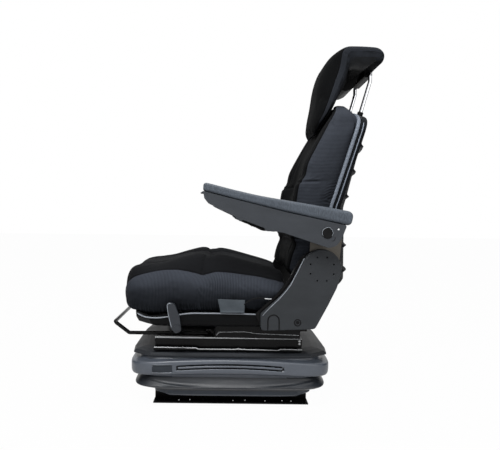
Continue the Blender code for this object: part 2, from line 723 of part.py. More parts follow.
def build_upper_slides(seat):
    """The moving rails, hooked over the fixed ones, each with an ear for the slide bar."""
    top_low = SLIDE_TOP_Z - SLIDE_WALL
    foot = SLIDE_BASE_Z + 0.0070
    lip = foot + 0.0020
    corners = [
        (-0.0190, foot),
        (-0.0145, foot),
        (-0.0145, lip),
        (-0.0160, lip),
        (-0.0160, top_low),
        (0.0160, top_low),
        (0.0160, lip),
        (0.0145, lip),
        (0.0145, foot),
        (0.0190, foot),
        (0.0190, SLIDE_TOP_Z),
        (-0.0190, SLIDE_TOP_Z),
    ]
    bar_x, bar_z = BAR_PIVOT
    for name, side in SIDES:
        rail = seat.extrusion(
            f"upper_slide_{name}", [slide_section(side, corners)], "X", SLIDE_FRONT_X, SLIDE_REAR_X
        )
        ear = filleted(
            [
                (bar_x - 0.014, top_low + 0.001, 0),
                (bar_x + 0.014, top_low + 0.001, 0),
                (bar_x + 0.009, bar_z + 0.009, 0.006),
                (bar_x - 0.009, bar_z + 0.009, 0.006),
            ]
        )
        hole = circle(BAR_PIVOT, BAR_R + SHAFT_CLEARANCE, 12)
        inner = SLIDE_CENTRE_Y - 0.011
        seat.combine(rail, seat.side_extrusion(f"bar_ear_{name}", [ear, hole], side, inner, inner + 0.003))
        seat.carry(rail, "seat", "steel")
        section = [
            (0.0020, SLIDE_TOP_Z + RUN_GAP),
            (0.0190, SLIDE_TOP_Z + RUN_GAP),
            (0.0190, PAN_FLOOR_Z - RUN_GAP),
            (-0.0200, PAN_FLOOR_Z - RUN_GAP),
            (-0.0200, PAN_FLOOR_Z - RUN_GAP - 0.0025),
            (0.0165, PAN_FLOOR_Z - RUN_GAP - 0.0025),
            (0.0165, SLIDE_TOP_Z + RUN_GAP + 0.0025),
            (0.0020, SLIDE_TOP_Z + RUN_GAP + 0.0025),
        ]
        riser = seat.extrusion(
            f"seat_riser_{name}",
            [slide_section(side, section)],
            "X",
            BAR_PIVOT[0] + 0.020,
            SLIDE_REAR_X - 0.005,
        )
        seat.carry(riser, "seat", "steel")


def build_slide_bar(seat):
    """The bar that frees the slides: a loop in front of the seat, with its ends bent into the ears."""
    seat.carrier("slide_bar", (BAR_PIVOT[0], 0, BAR_PIVOT[1]), "seat")
    pivot_x, pivot_z = BAR_PIVOT
    tip_y = SLIDE_CENTRE_Y - 0.013
    half = [
        (pivot_x, tip_y, pivot_z),
        (pivot_x, SLIDE_CENTRE_Y, pivot_z),
        (BAR_KNEE_X, SLIDE_CENTRE_Y, pivot_z),
        (BAR_FRONT_X, SLIDE_CENTRE_Y, BAR_FRONT_Z),
    ]
    corners = half + [(x, -y, z) for x, y, z in reversed(half)]
    path = bent_path(corners, 0.0095, 4)
    seat.carry(seat.tube("slide_bar", path, BAR_R, 3), "slide_bar", "steel")


def build_pan(seat):
    """The seat pan: a shallow tray with rounded edges and a dipped lip."""
    seat_rings = []
    for inset, z in ((0.085, 0.0), (0.024, 0.0), (PAN_EDGE_INSET, 0.0080), (0.0015, 0.0220), (0.0, None)):
        outline = plan(PAN_CENTRE_X, PAN_HALF_X - inset, PAN_HALF_Y - inset, 32, 10.0)
        seat_rings.append([(x, y, lip_height(x) if z is None else PAN_FLOOR_Z + z) for x, y in outline])
    pan = seat.walled(seat.loft("seat_pan", seat_rings, cap_first=True, cap_last=False), PAN_WALL)
    seat.carry(pan, "seat", "plastic")


CUSHION_STATIONS = (
    # x, inset from the half width, top at the side rolls, top in the middle, bottom above the pan's lip
    (-0.3860, 0.170, 0.350, 0.350, 0.020),
    (-0.3790, 0.116, 0.374, 0.374, 0.010),
    (-0.3650, 0.063, 0.394, 0.394, 0.0030),
    (-0.3500, 0.034, 0.405, 0.403, 0.0),
    (-0.3300, 0.015, 0.412, 0.409, 0.0010),
    (-0.2950, 0.004, 0.417, 0.412, 0.0010),
    (-0.2600, 0.001, 0.422, 0.416, 0.0),
    (-0.2150, 0.000, 0.435, 0.426, 0.0),
    (-0.1600, 0.000, 0.449, 0.436, 0.0),
    (-0.1400, 0.000, 0.449, 0.434, 0.0),
    (-0.1170, 0.001, 0.442, 0.427, 0.0),
    (-0.0920, 0.000, 0.448, 0.432, 0.0),
    (-0.0500, 0.000, 0.441, 0.426, 0.0),
    (0.0290, 0.002, 0.419, 0.409, 0.0),
    (0.0650, 0.004, 0.409, 0.401, 0.0),
    (0.0940, 0.009, 0.398, 0.392, 0.004),
    (CUSHION_REAR_X, 0.030, 0.378, 0.374, 0.020),
)


TAG_CORNERS = ((-0.093, 0.327, 0.003), (-0.085, 0.291, 0.003), (-0.018, 0.290, 0.003), (-0.016, 0.325, 0.003))


def build_cushion(seat):
    """The seat cushion: side rolls round a shallow hollow, lofted from front to rear."""
    rings = []
    for x, inset, roll, middle, lift in CUSHION_STATIONS:
        half = CUSHION_HALF_Y - inset
        low = lip_height(x) + RUN_GAP + lift
        high = roll - low
        section = [
            (0.0, low),
            (half - 0.030, low),
            (half - 0.005, low + 0.001),
            (half, low + 0.012),
            (half, low + 0.55 * high),
            (half - 0.020, roll - 0.012),
            (half * 0.68, roll),
            (half * 0.40, (roll + middle) / 2),
            (0.0, middle),
        ]
        rings.append([(x, y, z) for y, z in mirrored(section)])
    cushion = seat.softened(seat.loft("seat_cushion", rings))
    seat.carry(cushion, "seat", "fabric")
    label = filleted(TAG_CORNERS)
    tag_y = CUSHION_HALF_Y - 0.0007
    tag = seat.side_extrusion("cushion_tag", [label], -1, tag_y, tag_y + TAG_THICKNESS)
    seat.carry(tag, "seat", "label")


def build_lever(seat):
    """The adjusting lever at the front left, and its bolt."""
    seat.carrier("tilt_lever", (LEVER_PIVOT[0], -LEVER_INNER_Y, LEVER_PIVOT[1]), "seat")
    outline = filleted(
        [
            (-0.2110, 0.2300, 0.008),
            (-0.1950, 0.2380, 0.008),
            (-0.2000, 0.2760, 0),
            (-0.2140, 0.3130, 0.006),
            (-0.2270, 0.3180, 0.008),
            (-0.2370, 0.3060, 0.008),
            (-0.2290, 0.2700, 0),
            (-0.2260, 0.2480, 0.010),
        ]
    )
    hole = circle(LEVER_PIVOT, 0.0055, 12)
    outer = LEVER_INNER_Y + LEVER_THICKNESS
    lever = seat.side_extrusion("tilt_lever", [outline[::-1], hole], -1, LEVER_INNER_Y, outer)
    seat.carry(seat.rounded(lever, 0.0015, 1), "tilt_lever", "plastic")
    profile = [
        (0, outer + 0.003),
        (0.0085, outer + 0.003),
        (0.0085, outer + RUN_GAP),
        (0.0050, outer + RUN_GAP),
        (0.0050, PAN_HALF_Y - PAN_EDGE_INSET + 0.0010),
        (0, PAN_HALF_Y - PAN_EDGE_INSET + 0.0010),
    ]
    seat.carry(seat.turned("lever_bolt", profile, LEVER_PIVOT, -1, 16), "seat", "steel")


COVER_CORNERS = (
    # x, z, radius: down the curved front edge, along the foot and up the rear edge
    (0.1210, 0.3880, 0),
    (0.0840, 0.3410, 0),
    (0.0270, 0.2890, 0.006),
    (0.0270, 0.2440, 0.010),
    (0.1790, 0.2500, 0.012),
    (0.2140, 0.3150, 0.080),
    (0.2390, 0.3660, 0.060),
    (0.2480, 0.3980, 0),
)


def cover_outline(front_reach=0.0):
    """The recliner cover's outline, anticlockwise: over the hub, down the front edge and up the rear one."""
    corners = []
    for k in range(11):
        turn = math.radians(-12 + 170 * k / 10)
        corners.append((HUB[0] + HUB_R * math.cos(turn), HUB[1] + HUB_R * math.sin(turn), 0))
    corners += COVER_CORNERS
    outline = []
    for x, z in filleted(corners, 2):
        reach = min(1.0, max(0.0, (0.175 - x) / 0.030)) * front_reach if z > 0.27 else 0.0
        outline.append((x - reach, z))
    return outline


def build_recliners(seat):
    """The lower side plates, their moulded covers and the cover screws."""
    for name, side in SIDES:
        outline = cover_outline(0.013)
        bore = circle(HUB, TORQUE_TUBE_R + 0.0007, 20)
        plate = seat.side_extrusion(
            f"recliner_plate_{name}", [outline, bore], side, LOWER_PLATE_Y, LOWER_PLATE_Y + PLATE_THICKNESS
        )
        low, high = sorted((side * (SLIDE_CENTRE_Y + 0.0195), side * (LOWER_PLATE_Y + 0.002)))
        foot = [(0.030, low), (0.160, low), (0.160, high), (0.030, high)]
        flange = seat.extrusion(f"plate_foot_{name}", [foot], "Z", PAN_FLOOR_Z - 0.0035, PAN_FLOOR_Z - 0.0005)
        web = seat.side_extrusion(
            f"plate_web_{name}",
            [[(0.030, PAN_FLOOR_Z - 0.0035), (0.160, PAN_FLOOR_Z - 0.0035), (0.160, 0.262), (0.030, 0.262)]],
            side,
            LOWER_PLATE_Y,
            LOWER_PLATE_Y + PLATE_THICKNESS,
        )
        seat.combine(plate, web)
        seat.combine(plate, flange)
        seat.carry(plate, "seat", "steel")

        inner = LOWER_PLATE_Y + PLATE_THICKNESS + RUN_GAP
        outer = inner + COVER_DEPTH
        cover = seat.side_extrusion(f"recliner_cover_{name}", [cover_outline()], side, inner, outer)
        seat.rounded(cover, 0.0035, 2)
        hollow = seat.side_extrusion(
            f"cover_hollow_{name}", [shrunk(cover_outline(), 0.0030)], side, inner - 0.002, outer - 0.003
        )
        seat.combine(cover, hollow, "DIFFERENCE")
        drills = bmesh.new()
        facing = Matrix.Rotation(math.pi / 2, 4, "X")
        places = circle(HUB, HUB_HOLE_CIRCLE_R, HUB_HOLES, math.radians(22.5))
        radii = [HUB_HOLE_R] * HUB_HOLES + [0.0055]
        for (x, z), radius in zip([*places, COVER_SCREW], radii):
            place = Matrix.Translation((x, side * outer, z)) @ facing
            bmesh.ops.create_cone(
                drills, cap_ends=True, segments=8, radius1=radius, radius2=radius, depth=0.010, matrix=place
            )
        mesh = bpy.data.meshes.new(f"cover_drills_{name}")
        drills.to_mesh(mesh)
        drills.free()
        seat.combine(cover, seat.add(mesh.name, mesh), "DIFFERENCE")
        seat.carry(cover, "seat", "plastic")
        profile = [(0, outer - 0.002), (0.0045, outer - 0.003), (0.0045, inner), (0, inner)]
        seat.carry(seat.turned(f"cover_screw_{name}", profile, COVER_SCREW, side, 10), "seat", "zinc")


def shrunk(outline, inset):
    """An outline moved inwards by the inset, point by point."""
    count = len(outline)
    area = sum(
        outline[i][0] * outline[(i + 1) % count][1] - outline[(i + 1) % count][0] * outline[i][1]
        for i in range(count)
    )
    turn = 1 if area > 0 else -1
    moved = []
    for i, here in enumerate(outline):
        along = Vector(outline[(i + 1) % count]) - Vector(outline[i - 1])
        inward = Vector((-along.y, along.x)).normalized() * turn
        moved.append(tuple(Vector(here) + inward * inset))
    return moved


def shell_depth(across, z):
    """How far the backshell's outer face stands behind its edge, at a share of its half width."""
    power = float(np.interp(z, (0.56, 0.74), (2.2, 1.3)))
    crown = float(np.interp(z, *SHELL_CROWN)) * (1 - abs(across) ** power)
    depth = SHELL_SIDE_DEPTH + (crown if abs(across) < 0.999 else 0.0)
    for k in range(RIB_COUNT):
        offset = abs(z - (RIB_FIRST_Z + k * RIB_PITCH))
        if offset < RIB_HALF * 0.5 and abs(across) < 0.8:
            depth += RIB_HEIGHT
    return depth


def shell_rows():
    """Heights of the backshell's rows: its ends, and the foot, crest and foot of each rib."""
    rows = [SHELL_LOW_Z, SHELL_LOW_Z + 0.012]
    for k in range(RIB_COUNT):
        crest = RIB_FIRST_Z + k * RIB_PITCH
        rows += [crest - RIB_HALF, crest, crest + RIB_HALF]
    rows += [0.820, 0.850, 0.872, SHELL_TOP_Z]
    return sorted(rows)


def shell_half_width(z):
    """The backshell narrows towards its rounded top."""
    top = max(0.0, (z - 0.800) / (SHELL_TOP_Z - 0.800))
    return SHELL_HALF_Y - 0.131 * top**3


def build_backshell(seat):
    """The ribbed backshell: a shallow tray, open towards the cushion."""
    shares = [-1.0, -1.0, -0.92, -0.78, -0.50, -0.20, 0.20, 0.50, 0.78, 0.92, 1.0, 1.0]
    rows = shell_rows()
    ends = len(rows) - 1
    grid = []
    for i, z in enumerate([rows[0], *rows, rows[-1]]):
        line = []
        row = min(max(i - 1, 0), ends)
        fall = {0: 0.45, 1: 0.85, ends: 0.30, ends - 1: 0.62, ends - 2: 0.86, ends - 3: 0.96}.get(row, 1.0)
        for j, share in enumerate(shares):
            at_edge = i in (0, len(rows) + 1) or j in (0, len(shares) - 1)
            depth = 0.0 if at_edge else shell_depth(share, z) * fall
            line.append((shell_edge_x(z) + depth, share * shell_half_width(z), z))
        grid.append(line)
    mesh = bpy.data.meshes.new("backshell")
    shape = bmesh.new()
    verts = [[shape.verts.new(point) for point in line] for line in grid]
    for lower, upper in zip(verts, verts[1:]):
        for j in range(len(shares) - 1):
            shape.faces.new((lower[j], lower[j + 1], upper[j + 1], upper[j]))
    bmesh.ops.remove_doubles(shape, verts=shape.verts, dist=1e-5)
    shape.to_mesh(mesh)
    shape.free()
    shell = seat.walled(seat.add("backshell", mesh), SHELL_WALL)
    for name, side in SIDES:
        opening = rod_tube(seat, f"sleeve_opening_{name}", side, 0.850, 0.910, SLEEVE_R + 0.0006, 0)
        seat.combine(shell, opening, "DIFFERENCE")
    drill_half = SHELL_HALF_Y + 0.010
    radius = FRAME_BOLT_R + SHAFT_CLEARANCE
    drill = [(0, drill_half), (radius, drill_half), (radius, -drill_half), (0, -drill_half)]
    seat.combine(shell, seat.turned("frame_bolt_drill", drill, FRAME_BOLT, 1, 12), "DIFFERENCE")
    seat.carry(shell, "backrest", "shell")


def rod_tube(seat, name, side, low_z, high_z, radius, bore):
    """A round piece along a headrest rod's line, with an open bore if one is given."""
    low = Vector((rod_x(low_z), side * ROD_Y, low_z))
    high = Vector((rod_x(high_z), side * ROD_Y, high_z))
    loops = [circle((0, 0), radius, 16)]
    if bore:
        loops.append(circle((0, 0), bore, 16))
    piece = seat.extrusion(name, loops, "Z", 0, (high - low).length)
    lean = math.atan2(high.x - low.x, high.z - low.z)
    to_ground = Matrix.Translation((0, 0, (high - low).length / 2))
    piece.matrix_world = Matrix.Translation(low) @ Matrix.Rotation(lean, 4, "Y") @ to_ground
    return piece


def build_backrest_frame(seat):
    """The tube frame in the backshell, the side plates, the torque tube and the headrest sleeves."""
    lower_x = SHELL_EDGE_X + FRAME_TUBE_R
    leaning = FRAME_TUBE_R * math.hypot(1, LEAN)
    cross_z = 0.815
    cross_x = rod_x(cross_z) + (SLEEVE_R + FRAME_TUBE_R + RUN_GAP) * math.hypot(1, ROD_SLOPE)
    half = [
        (lower_x, FRAME_LEG_Y, 0.470),
        (lower_x, FRAME_LEG_Y, SHELL_BEND_Z - (leaning - FRAME_TUBE_R) / LEAN),
        (shell_edge_x(0.765) + leaning, FRAME_LEG_Y - 0.006, 0.765),
        (cross_x, 0.104, cross_z),
    ]
    corners = half + [(x, -y, z) for x, y, z in reversed(half)]
    frame = seat.tube("backrest_frame", bent_path(corners, 0.025, 3), FRAME_TUBE_R, 2)
    end = UPPER_PLATE_Y - RUN_GAP
    bolt = [(0, end), (FRAME_BOLT_R, end), (FRAME_BOLT_R, -end), (0, -end)]
    seat.combine(frame, seat.turned("frame_cross_bar", bolt, FRAME_BOLT, 1, 12))
    seat.carry(frame, "backrest", "steel")

    for name, side in SIDES:
        corners = filleted(
            [
                (0.2450, 0.3950, 0.030),
                (0.2540, 0.4700, 0),
                (0.2640, 0.5700, 0.012),
                (0.1900, 0.5620, 0.020),
                (0.1680, 0.5300, 0.020),
                (0.1660, 0.4550, 0.010),
                (0.1480, 0.4200, 0.020),
                (0.1580, 0.3760, 0.020),
                (0.2000, 0.3620, 0.030),
            ]
        )
        holes = [
            circle(HUB, TORQUE_TUBE_R + RUN_GAP, 20),
            circle(ARMREST_PIVOT, ARMREST_BOLT_R + RUN_GAP, 16),
        ]
        plate = seat.side_extrusion(
            f"backrest_plate_{name}", [corners, *holes], side, UPPER_PLATE_Y, UPPER_PLATE_Y + PLATE_THICKNESS
        )
        seat.carry(plate, "backrest", "steel")
        sleeve = rod_tube(
            seat, f"headrest_sleeve_{name}", side, SLEEVE_LOW_Z, SLEEVE_TOP_Z, SLEEVE_R, ROD_R + SHAFT_CLEARANCE
        )
        seat.carry(sleeve, "backrest", "plastic")
    end = LOWER_PLATE_Y + PLATE_THICKNESS + 0.0015
    profile = [(0, end), (TORQUE_TUBE_R, end), (TORQUE_TUBE_R, -end), (0, -end)]
    seat.carry(seat.turned("recliner_shaft", profile, HUB, 1, 20), "backrest", "steel")


BACK_STATIONS = (
    # height, growth past the shell's half width, front at the side rolls, front in the middle, rear drawn in from the shell's edge
    (0.3700, -0.020, 0.172, 0.176, 0.012),
    (0.3850, 0.006, 0.136, 0.140, 0.002),
    (0.4200, 0.015, 0.118, 0.124, 0.0),
    (0.4700, 0.016, 0.122, 0.132, 0.0),
    (0.5300, 0.016, 0.121, 0.136, 0.0),
    (0.5700, 0.016, 0.122, 0.140, 0.0),
    (0.5900, 0.016, 0.123, 0.143, 0.0016),
    (0.6200, 0.016, 0.127, 0.148, 0.0),
    (0.6480, 0.015, 0.135, 0.158, 0.0),
    (0.6720, 0.014, 0.146, 0.166, 0.0),
    (0.7300, 0.013, 0.166, 0.184, 0.0),
    (0.7900, 0.008, 0.195, 0.207, 0.0),
    (0.8400, -0.003, 0.222, 0.228, 0.0),
    (0.8700, -0.011, 0.240, 0.243, 0.001),
    (0.8900, -0.031, 0.251, 0.254, 0.006),
    (0.8990, -0.064, 0.257, 0.260, 0.012),
    (0.9090, -0.108, 0.263, 0.266, 0.014),
    (0.9180, -0.145, 0.270, 0.272, 0.016),
    (0.9270, -0.184, 0.284, 0.284, 0.022),
)


def build_back_cushion(seat):
    """The backrest cushion: side rolls round a hollow, lofted from its foot to its domed top."""
    rings = []
    for z, grow, roll, middle, draw in BACK_STATIONS:
        half = SHELL_HALF_Y + grow
        rear = shell_edge_x(z) - RUN_GAP - draw
        deep = rear - roll
        section = [
            (0.0, rear),
            (half - 0.016, rear),
            (half - 0.004, rear - 0.002),
            (half, rear - 0.25 * deep),
            (half - 0.002, rear - 0.70 * deep),
            (half - 0.024, roll + 0.008),
            (half * 0.72, roll),
            (half * 0.42, (roll + middle) / 2),
            (0.0, middle),
        ]
        rings.append([(x, y, z) for y, x in mirrored(section)])
    cushion = seat.softened(seat.loft("backrest_cushion", rings))
    half = CUSHION_HALF_Y
    radius = TORQUE_TUBE_R + 0.004
    tunnel = [(0, half), (radius, half), (radius, -half), (0, -half)]
    seat.combine(cushion, seat.turned("shaft_tunnel", tunnel, HUB, 1, 16), "DIFFERENCE")
    seat.carry(cushion, "backrest", "fabric")


def build_backrest(seat):
    seat.carrier("backrest", (HUB[0], 0, HUB[1]), "seat")
    build_back_cushion(seat)
    build_backshell(seat)
    build_backrest_frame(seat)


HEADREST_SECTION = (
    # x, z of the front at the side edges, x, z of the rear, forward bulge in the middle, half width; from the lower tip up and back
    (0.2040, 0.8265, 0.2110, 0.8300, 0.0030, 0.060),
    (0.2060, 0.8400, 0.2170, 0.8440, 0.0110, 0.094),
    (0.2140, 0.8590, 0.2280, 0.8600, 0.0200, 0.124),
    (0.2300, 0.8890, 0.2450, 0.8890, 0.0325, 0.141),
    (0.2490, 0.9360, 0.2650, 0.9330, 0.0395, 0.145),
    (0.2670, 0.9826, 0.2830, 0.9770, 0.0480, 0.145),
    (0.2810, 1.0193, 0.2970, 1.0130, 0.0505, 0.145),
    (0.2880, 1.0540, 0.3040, 1.0300, 0.0430, 0.145),
    (0.2910, 1.0730, 0.3130, 1.0335, 0.0310, 0.145),
    (0.3010, 1.0790, 0.3270, 1.0340, 0.0160, 0.145),
    (0.3200, 1.0805, 0.3420, 1.0340, 0.0, 0.145),
    (0.3600, 1.0795, 0.3700, 1.0340, 0.0, 0.145),
    (0.3900, 1.0775, 0.3950, 1.0345, 0.0, 0.144),
    (0.4060, 1.0660, 0.4070, 1.0480, 0.0, 0.141),
)


def build_headrest(seat):
    """Chrome rod frame, padded headrest with a crowned front, its clamp and the moulding behind it."""
    seat.carrier("headrest_rods", (ROD_ENTRY[0], 0, ROD_ENTRY[1]), "backrest")
    cross_x, cross_z = CROSSBAR
    straight_z = cross_z - 0.030
    half = [
        (rod_x(ROD_LOW_Z), ROD_Y, ROD_LOW_Z),
        (rod_x(straight_z), ROD_Y, straight_z),
        (cross_x, ROD_Y, cross_z),
    ]
    corners = half + [(x, -y, z) for x, y, z in reversed(half)]
    seat.carry(
        seat.tube("headrest_rods", bent_path(corners, 0.013, 4), ROD_R, 4), "headrest_rods", "chrome"
    )

    seat.carrier("headrest", (cross_x, 0, cross_z), "headrest_rods")
    rings = []
    for share in (-1.0, -0.90, -0.62, -0.28, 0.28, 0.62, 0.90, 1.0):
        bulge = 1 - abs(share) ** 4.5
        pinch = 0.20 if abs(share) == 1.0 else 0.0
        front, rear = [], []
        for front_x, front_z, rear_x, rear_z, forward, half_y in HEADREST_SECTION:
            middle_x, middle_z = (front_x + rear_x) / 2, (front_z + rear_z) / 2
            grown_x = front_x - forward * bulge
            y = share * half_y
            front.append((grown_x + (middle_x - grown_x) * pinch, y, front_z + (middle_z - front_z) * pinch))
            rear.append((rear_x + (middle_x - rear_x) * pinch, y, rear_z + (middle_z - rear_z) * pinch))
        rings.append(front + rear[::-1])
    pad = seat.softened(seat.loft("headrest_pad", rings))
    seat.carry(pad, "headrest", "fabric")

    outer = [
        (cross_x - CLAMP_R, HEADREST_UNDER_Z - RUN_GAP, 0),
        (cross_x - CLAMP_R, cross_z - 0.0110, 0.006),
        (cross_x + CLAMP_R, cross_z - 0.0110, 0.006),
        (cross_x + CLAMP_R, HEADREST_UNDER_Z - RUN_GAP, 0),
    ]
    bore = circle(CROSSBAR, ROD_R + SHAFT_CLEARANCE, 16)
    clamp_half = ROD_Y - 0.020
    clamp = seat.extrusion("headrest_clamp", [filleted(outer)[::-1], bore], "Y", -clamp_half, clamp_half)
    seat.carry(clamp, "headrest", "plastic")
    lobe = filleted(
        [
            (0.3400, HEADREST_UNDER_Z - RUN_GAP, 0),
            (0.3225, 1.0312, 0),
            (0.3035, 1.0145, 0),
            (0.2905, 0.9850, 0.006),
            (0.2970, 0.9620, 0.014),
            (0.3320, 0.9780, 0.022),
            (0.3560, HEADREST_UNDER_Z - RUN_GAP, 0),
        ]
    )
    moulding = seat.extrusion("headrest_moulding", [lobe], "Y", -0.062, 0.062)
    seat.carry(seat.rounded(moulding, 0.004, 2), "headrest", "plastic")


PAD_CORNERS = (
    (-0.1340, 0.6520, 0.004),
    (-0.1250, 0.6515, 0.010),
    (-0.0520, 0.6330, 0),
    (0.0130, 0.6190, 0),
    (0.0670, 0.6100, 0),
    (0.2720, 0.5780, 0.008),
    (0.2670, 0.5400, 0.006),
    (0.2540, 0.5420, 0.004),
    (0.0860, 0.5770, 0),
    (0.0290, 0.5910, 0),
    (-0.0640, 0.6130, 0),
    (-0.1350, 0.6310, 0.004),
)

HOUSING_CORNERS = (
    (-0.1430, 0.6245, 0),
    (-0.1350, 0.6302, 0),
    (-0.0640, 0.6124, 0),
    (0.0290, 0.5903, 0),
    (0.0860, 0.5763, 0),
    (0.2540, 0.5412, 0.004),
    (0.2400, 0.5050, 0.010),
    (0.2260, 0.4860, 0.018),
    (0.2050, 0.4800, 0.018),
    (0.0860, 0.5190, 0),
    (0.0620, 0.5230, 0.004),
    (0.0360, 0.5235, 0.006),
    (0.0310, 0.5320, 0),
    (-0.0270, 0.5530, 0),
    (-0.0340, 0.5480, 0.004),
    (-0.0500, 0.5640, 0),
    (-0.0870, 0.5810, 0),
    (-0.1210, 0.5970, 0.008),
    (-0.1320, 0.6110, 0.006),
    (-0.1340, 0.6240, 0),
)


def build_armrest(seat, name, side):
    """One armrest: pad, housing with the slot of its adjusting wheel, the wheel and the pivot bolt."""
    body = f"armrest_{name}"
    middle_y = side * (ARMREST_INNER_Y + ARMREST_OUTER_Y) / 2
    seat.carrier(body, (ARMREST_PIVOT[0], middle_y, ARMREST_PIVOT[1]), "backrest")
    pad = seat.side_extrusion(
        f"armrest_pad_{name}",
        [filleted(PAD_CORNERS, 2)[::-1]],
        side,
        ARMREST_INNER_Y - PAD_OVERHANG,
        ARMREST_OUTER_Y + PAD_OVERHANG,
    )
    seat.carry(seat.rounded(pad, 0.006, 2), body, "pad")

    hole = circle(ARMREST_PIVOT, ARMREST_BOLT_R + SHAFT_CLEARANCE, 16)
    housing = seat.side_extrusion(
        f"armrest_housing_{name}", [filleted(HOUSING_CORNERS, 2)[::-1], hole], side, ARMREST_INNER_Y, ARMREST_OUTER_Y
    )
    seat.rounded(housing, 0.0020, 1)
    wheel_x, wheel_z = WHEEL_CENTRE
    slot_half, reach = WHEEL_WIDTH / 2 + 0.001, WHEEL_R + 0.0015
    slot = [
        (wheel_x - reach, wheel_z - 0.050),
        (wheel_x + reach, wheel_z - 0.050),
        (wheel_x + reach, wheel_z + 0.012),
        (wheel_x + 0.012, wheel_z + reach),
        (wheel_x - 0.012, wheel_z + reach),
        (wheel_x - reach, wheel_z + 0.012),
    ]
    centre_y = abs(middle_y)
    seat.combine(
        housing,
        seat.side_extrusion(f"wheel_slot_{name}", [slot], side, centre_y - slot_half, centre_y + slot_half),
        "DIFFERENCE",
    )
    reach_y = slot_half + 0.003
    axle = [
        (0, centre_y + reach_y),
        (WHEEL_AXLE_R, centre_y + reach_y),
        (WHEEL_AXLE_R, centre_y - reach_y),
        (0, centre_y - reach_y),
    ]
    seat.combine(housing, seat.turned(f"wheel_axle_{name}", axle, WHEEL_CENTRE, side, 12))
    seat.carry(housing, body, "plastic")

    wheel_body = f"adjusting_wheel_{name}"
    seat.carrier(wheel_body, (wheel_x, middle_y, wheel_z), body)
    rim = []
    for k in range(2 * WHEEL_TEETH):
        radius = WHEEL_R - (0.0018 if k % 2 else 0.0)
        turn = math.pi * k / WHEEL_TEETH
        rim.append((wheel_x + radius * math.cos(turn), wheel_z + radius * math.sin(turn)))
    bore = circle(WHEEL_CENTRE, WHEEL_AXLE_R + SHAFT_CLEARANCE, 12)
    half = WHEEL_WIDTH / 2
    wheel = seat.side_extrusion(wheel_body, [rim, bore], side, centre_y - half, centre_y + half)
    seat.carry(wheel, wheel_body, "plastic")

    cap_low = ARMREST_OUTER_Y + RUN_GAP
    spacer_y = UPPER_PLATE_Y + PLATE_THICKNESS + RUN_GAP
    profile = [
        (0, cap_low + 0.0032),
        (CAP_R - 0.002, cap_low + 0.0032),
        (CAP_R, cap_low + 0.0018),
        (CAP_R, cap_low),
        (ARMREST_BOLT_R, cap_low),
        (ARMREST_BOLT_R, ARMREST_INNER_Y - RUN_GAP),
        (CAP_R, ARMREST_INNER_Y - RUN_GAP),
        (CAP_R, spacer_y),
        (ARMREST_BOLT_R, spacer_y),
        (ARMREST_BOLT_R, UPPER_PLATE_Y + 0.0005),
        (0, UPPER_PLATE_Y + 0.0005),
    ]
    bolt = seat.turned(f"armrest_bolt_{name}", profile, ARMREST_PIVOT, side, 20)
    seat.carry(bolt, "backrest", "steel")


def main():
    clear_scene()
    seat = Seat()
    build_base(seat)
    build_suspension(seat)
    build_bellows(seat)
    build_platform(seat)
    seat.carrier("seat", (0, 0, SLIDE_TOP_Z), "platform")
    build_upper_slides(seat)
    build_slide_bar(seat)
    build_pan(seat)
    build_cushion(seat)
    build_lever(seat)
    build_recliners(seat)
    build_backrest(seat)
    build_headrest(seat)
    for name, side in SIDES:
        build_armrest(seat, name, side)


main()
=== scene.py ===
"""Looks of a suspended operator seat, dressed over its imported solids.

Metres, +Z up. The occupant faces -X and the occupant's left side is at -Y.
"""

import json
import logging
import math
from dataclasses import dataclass, field
from enum import Enum

import bpy
import numpy as np
from mathutils import Matrix, Vector

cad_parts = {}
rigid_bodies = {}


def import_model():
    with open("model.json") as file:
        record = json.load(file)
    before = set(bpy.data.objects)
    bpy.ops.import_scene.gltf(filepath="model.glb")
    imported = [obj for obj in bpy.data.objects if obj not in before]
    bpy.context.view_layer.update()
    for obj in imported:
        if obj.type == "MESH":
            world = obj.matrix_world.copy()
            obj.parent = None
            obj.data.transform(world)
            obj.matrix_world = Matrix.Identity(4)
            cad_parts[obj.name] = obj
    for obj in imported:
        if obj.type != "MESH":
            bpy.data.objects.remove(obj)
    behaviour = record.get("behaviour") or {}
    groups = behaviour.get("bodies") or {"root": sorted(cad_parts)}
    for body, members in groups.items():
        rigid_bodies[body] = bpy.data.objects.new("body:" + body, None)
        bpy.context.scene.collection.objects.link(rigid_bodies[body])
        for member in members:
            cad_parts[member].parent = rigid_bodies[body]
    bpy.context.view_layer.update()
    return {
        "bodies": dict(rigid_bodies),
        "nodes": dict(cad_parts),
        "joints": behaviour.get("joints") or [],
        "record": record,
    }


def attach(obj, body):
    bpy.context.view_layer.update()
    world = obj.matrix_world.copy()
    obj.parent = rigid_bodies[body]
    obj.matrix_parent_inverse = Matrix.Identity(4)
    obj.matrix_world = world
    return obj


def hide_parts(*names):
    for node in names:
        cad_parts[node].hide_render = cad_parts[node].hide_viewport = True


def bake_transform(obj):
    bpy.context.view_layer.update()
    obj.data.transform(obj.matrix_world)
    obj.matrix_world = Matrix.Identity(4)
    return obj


LOG = logging.getLogger("operator_seat")
WEAVE_UV = "weave"
# Name of the attribute that holds the cloth's painted shade, darker where the cloth faces down.
PAINTED_SHADE_NAME = "painted_shade"
TURN = 2 * math.pi
SIDES = (("left", -1), ("right", 1))
Table = tuple[tuple[float, ...], ...]


# Numbers on grids


def eased(values: np.ndarray) -> np.ndarray:
    """Smooth step of values clipped to 0..1: 3t^2 - 2t^3."""
    t = np.clip(values, 0.0, 1.0)
    return t * t * (3.0 - 2.0 * t)


def bell(values: np.ndarray, width: float) -> np.ndarray:
    """A soft bump round zero: exp(-(v / width)^2)."""
    return np.exp(-((values / width) ** 2))


def nearer(values: np.ndarray, first: float, second: float) -> np.ndarray:
    """Distance to the nearer of two places."""
    return np.minimum(np.abs(values - first), np.abs(values - second))


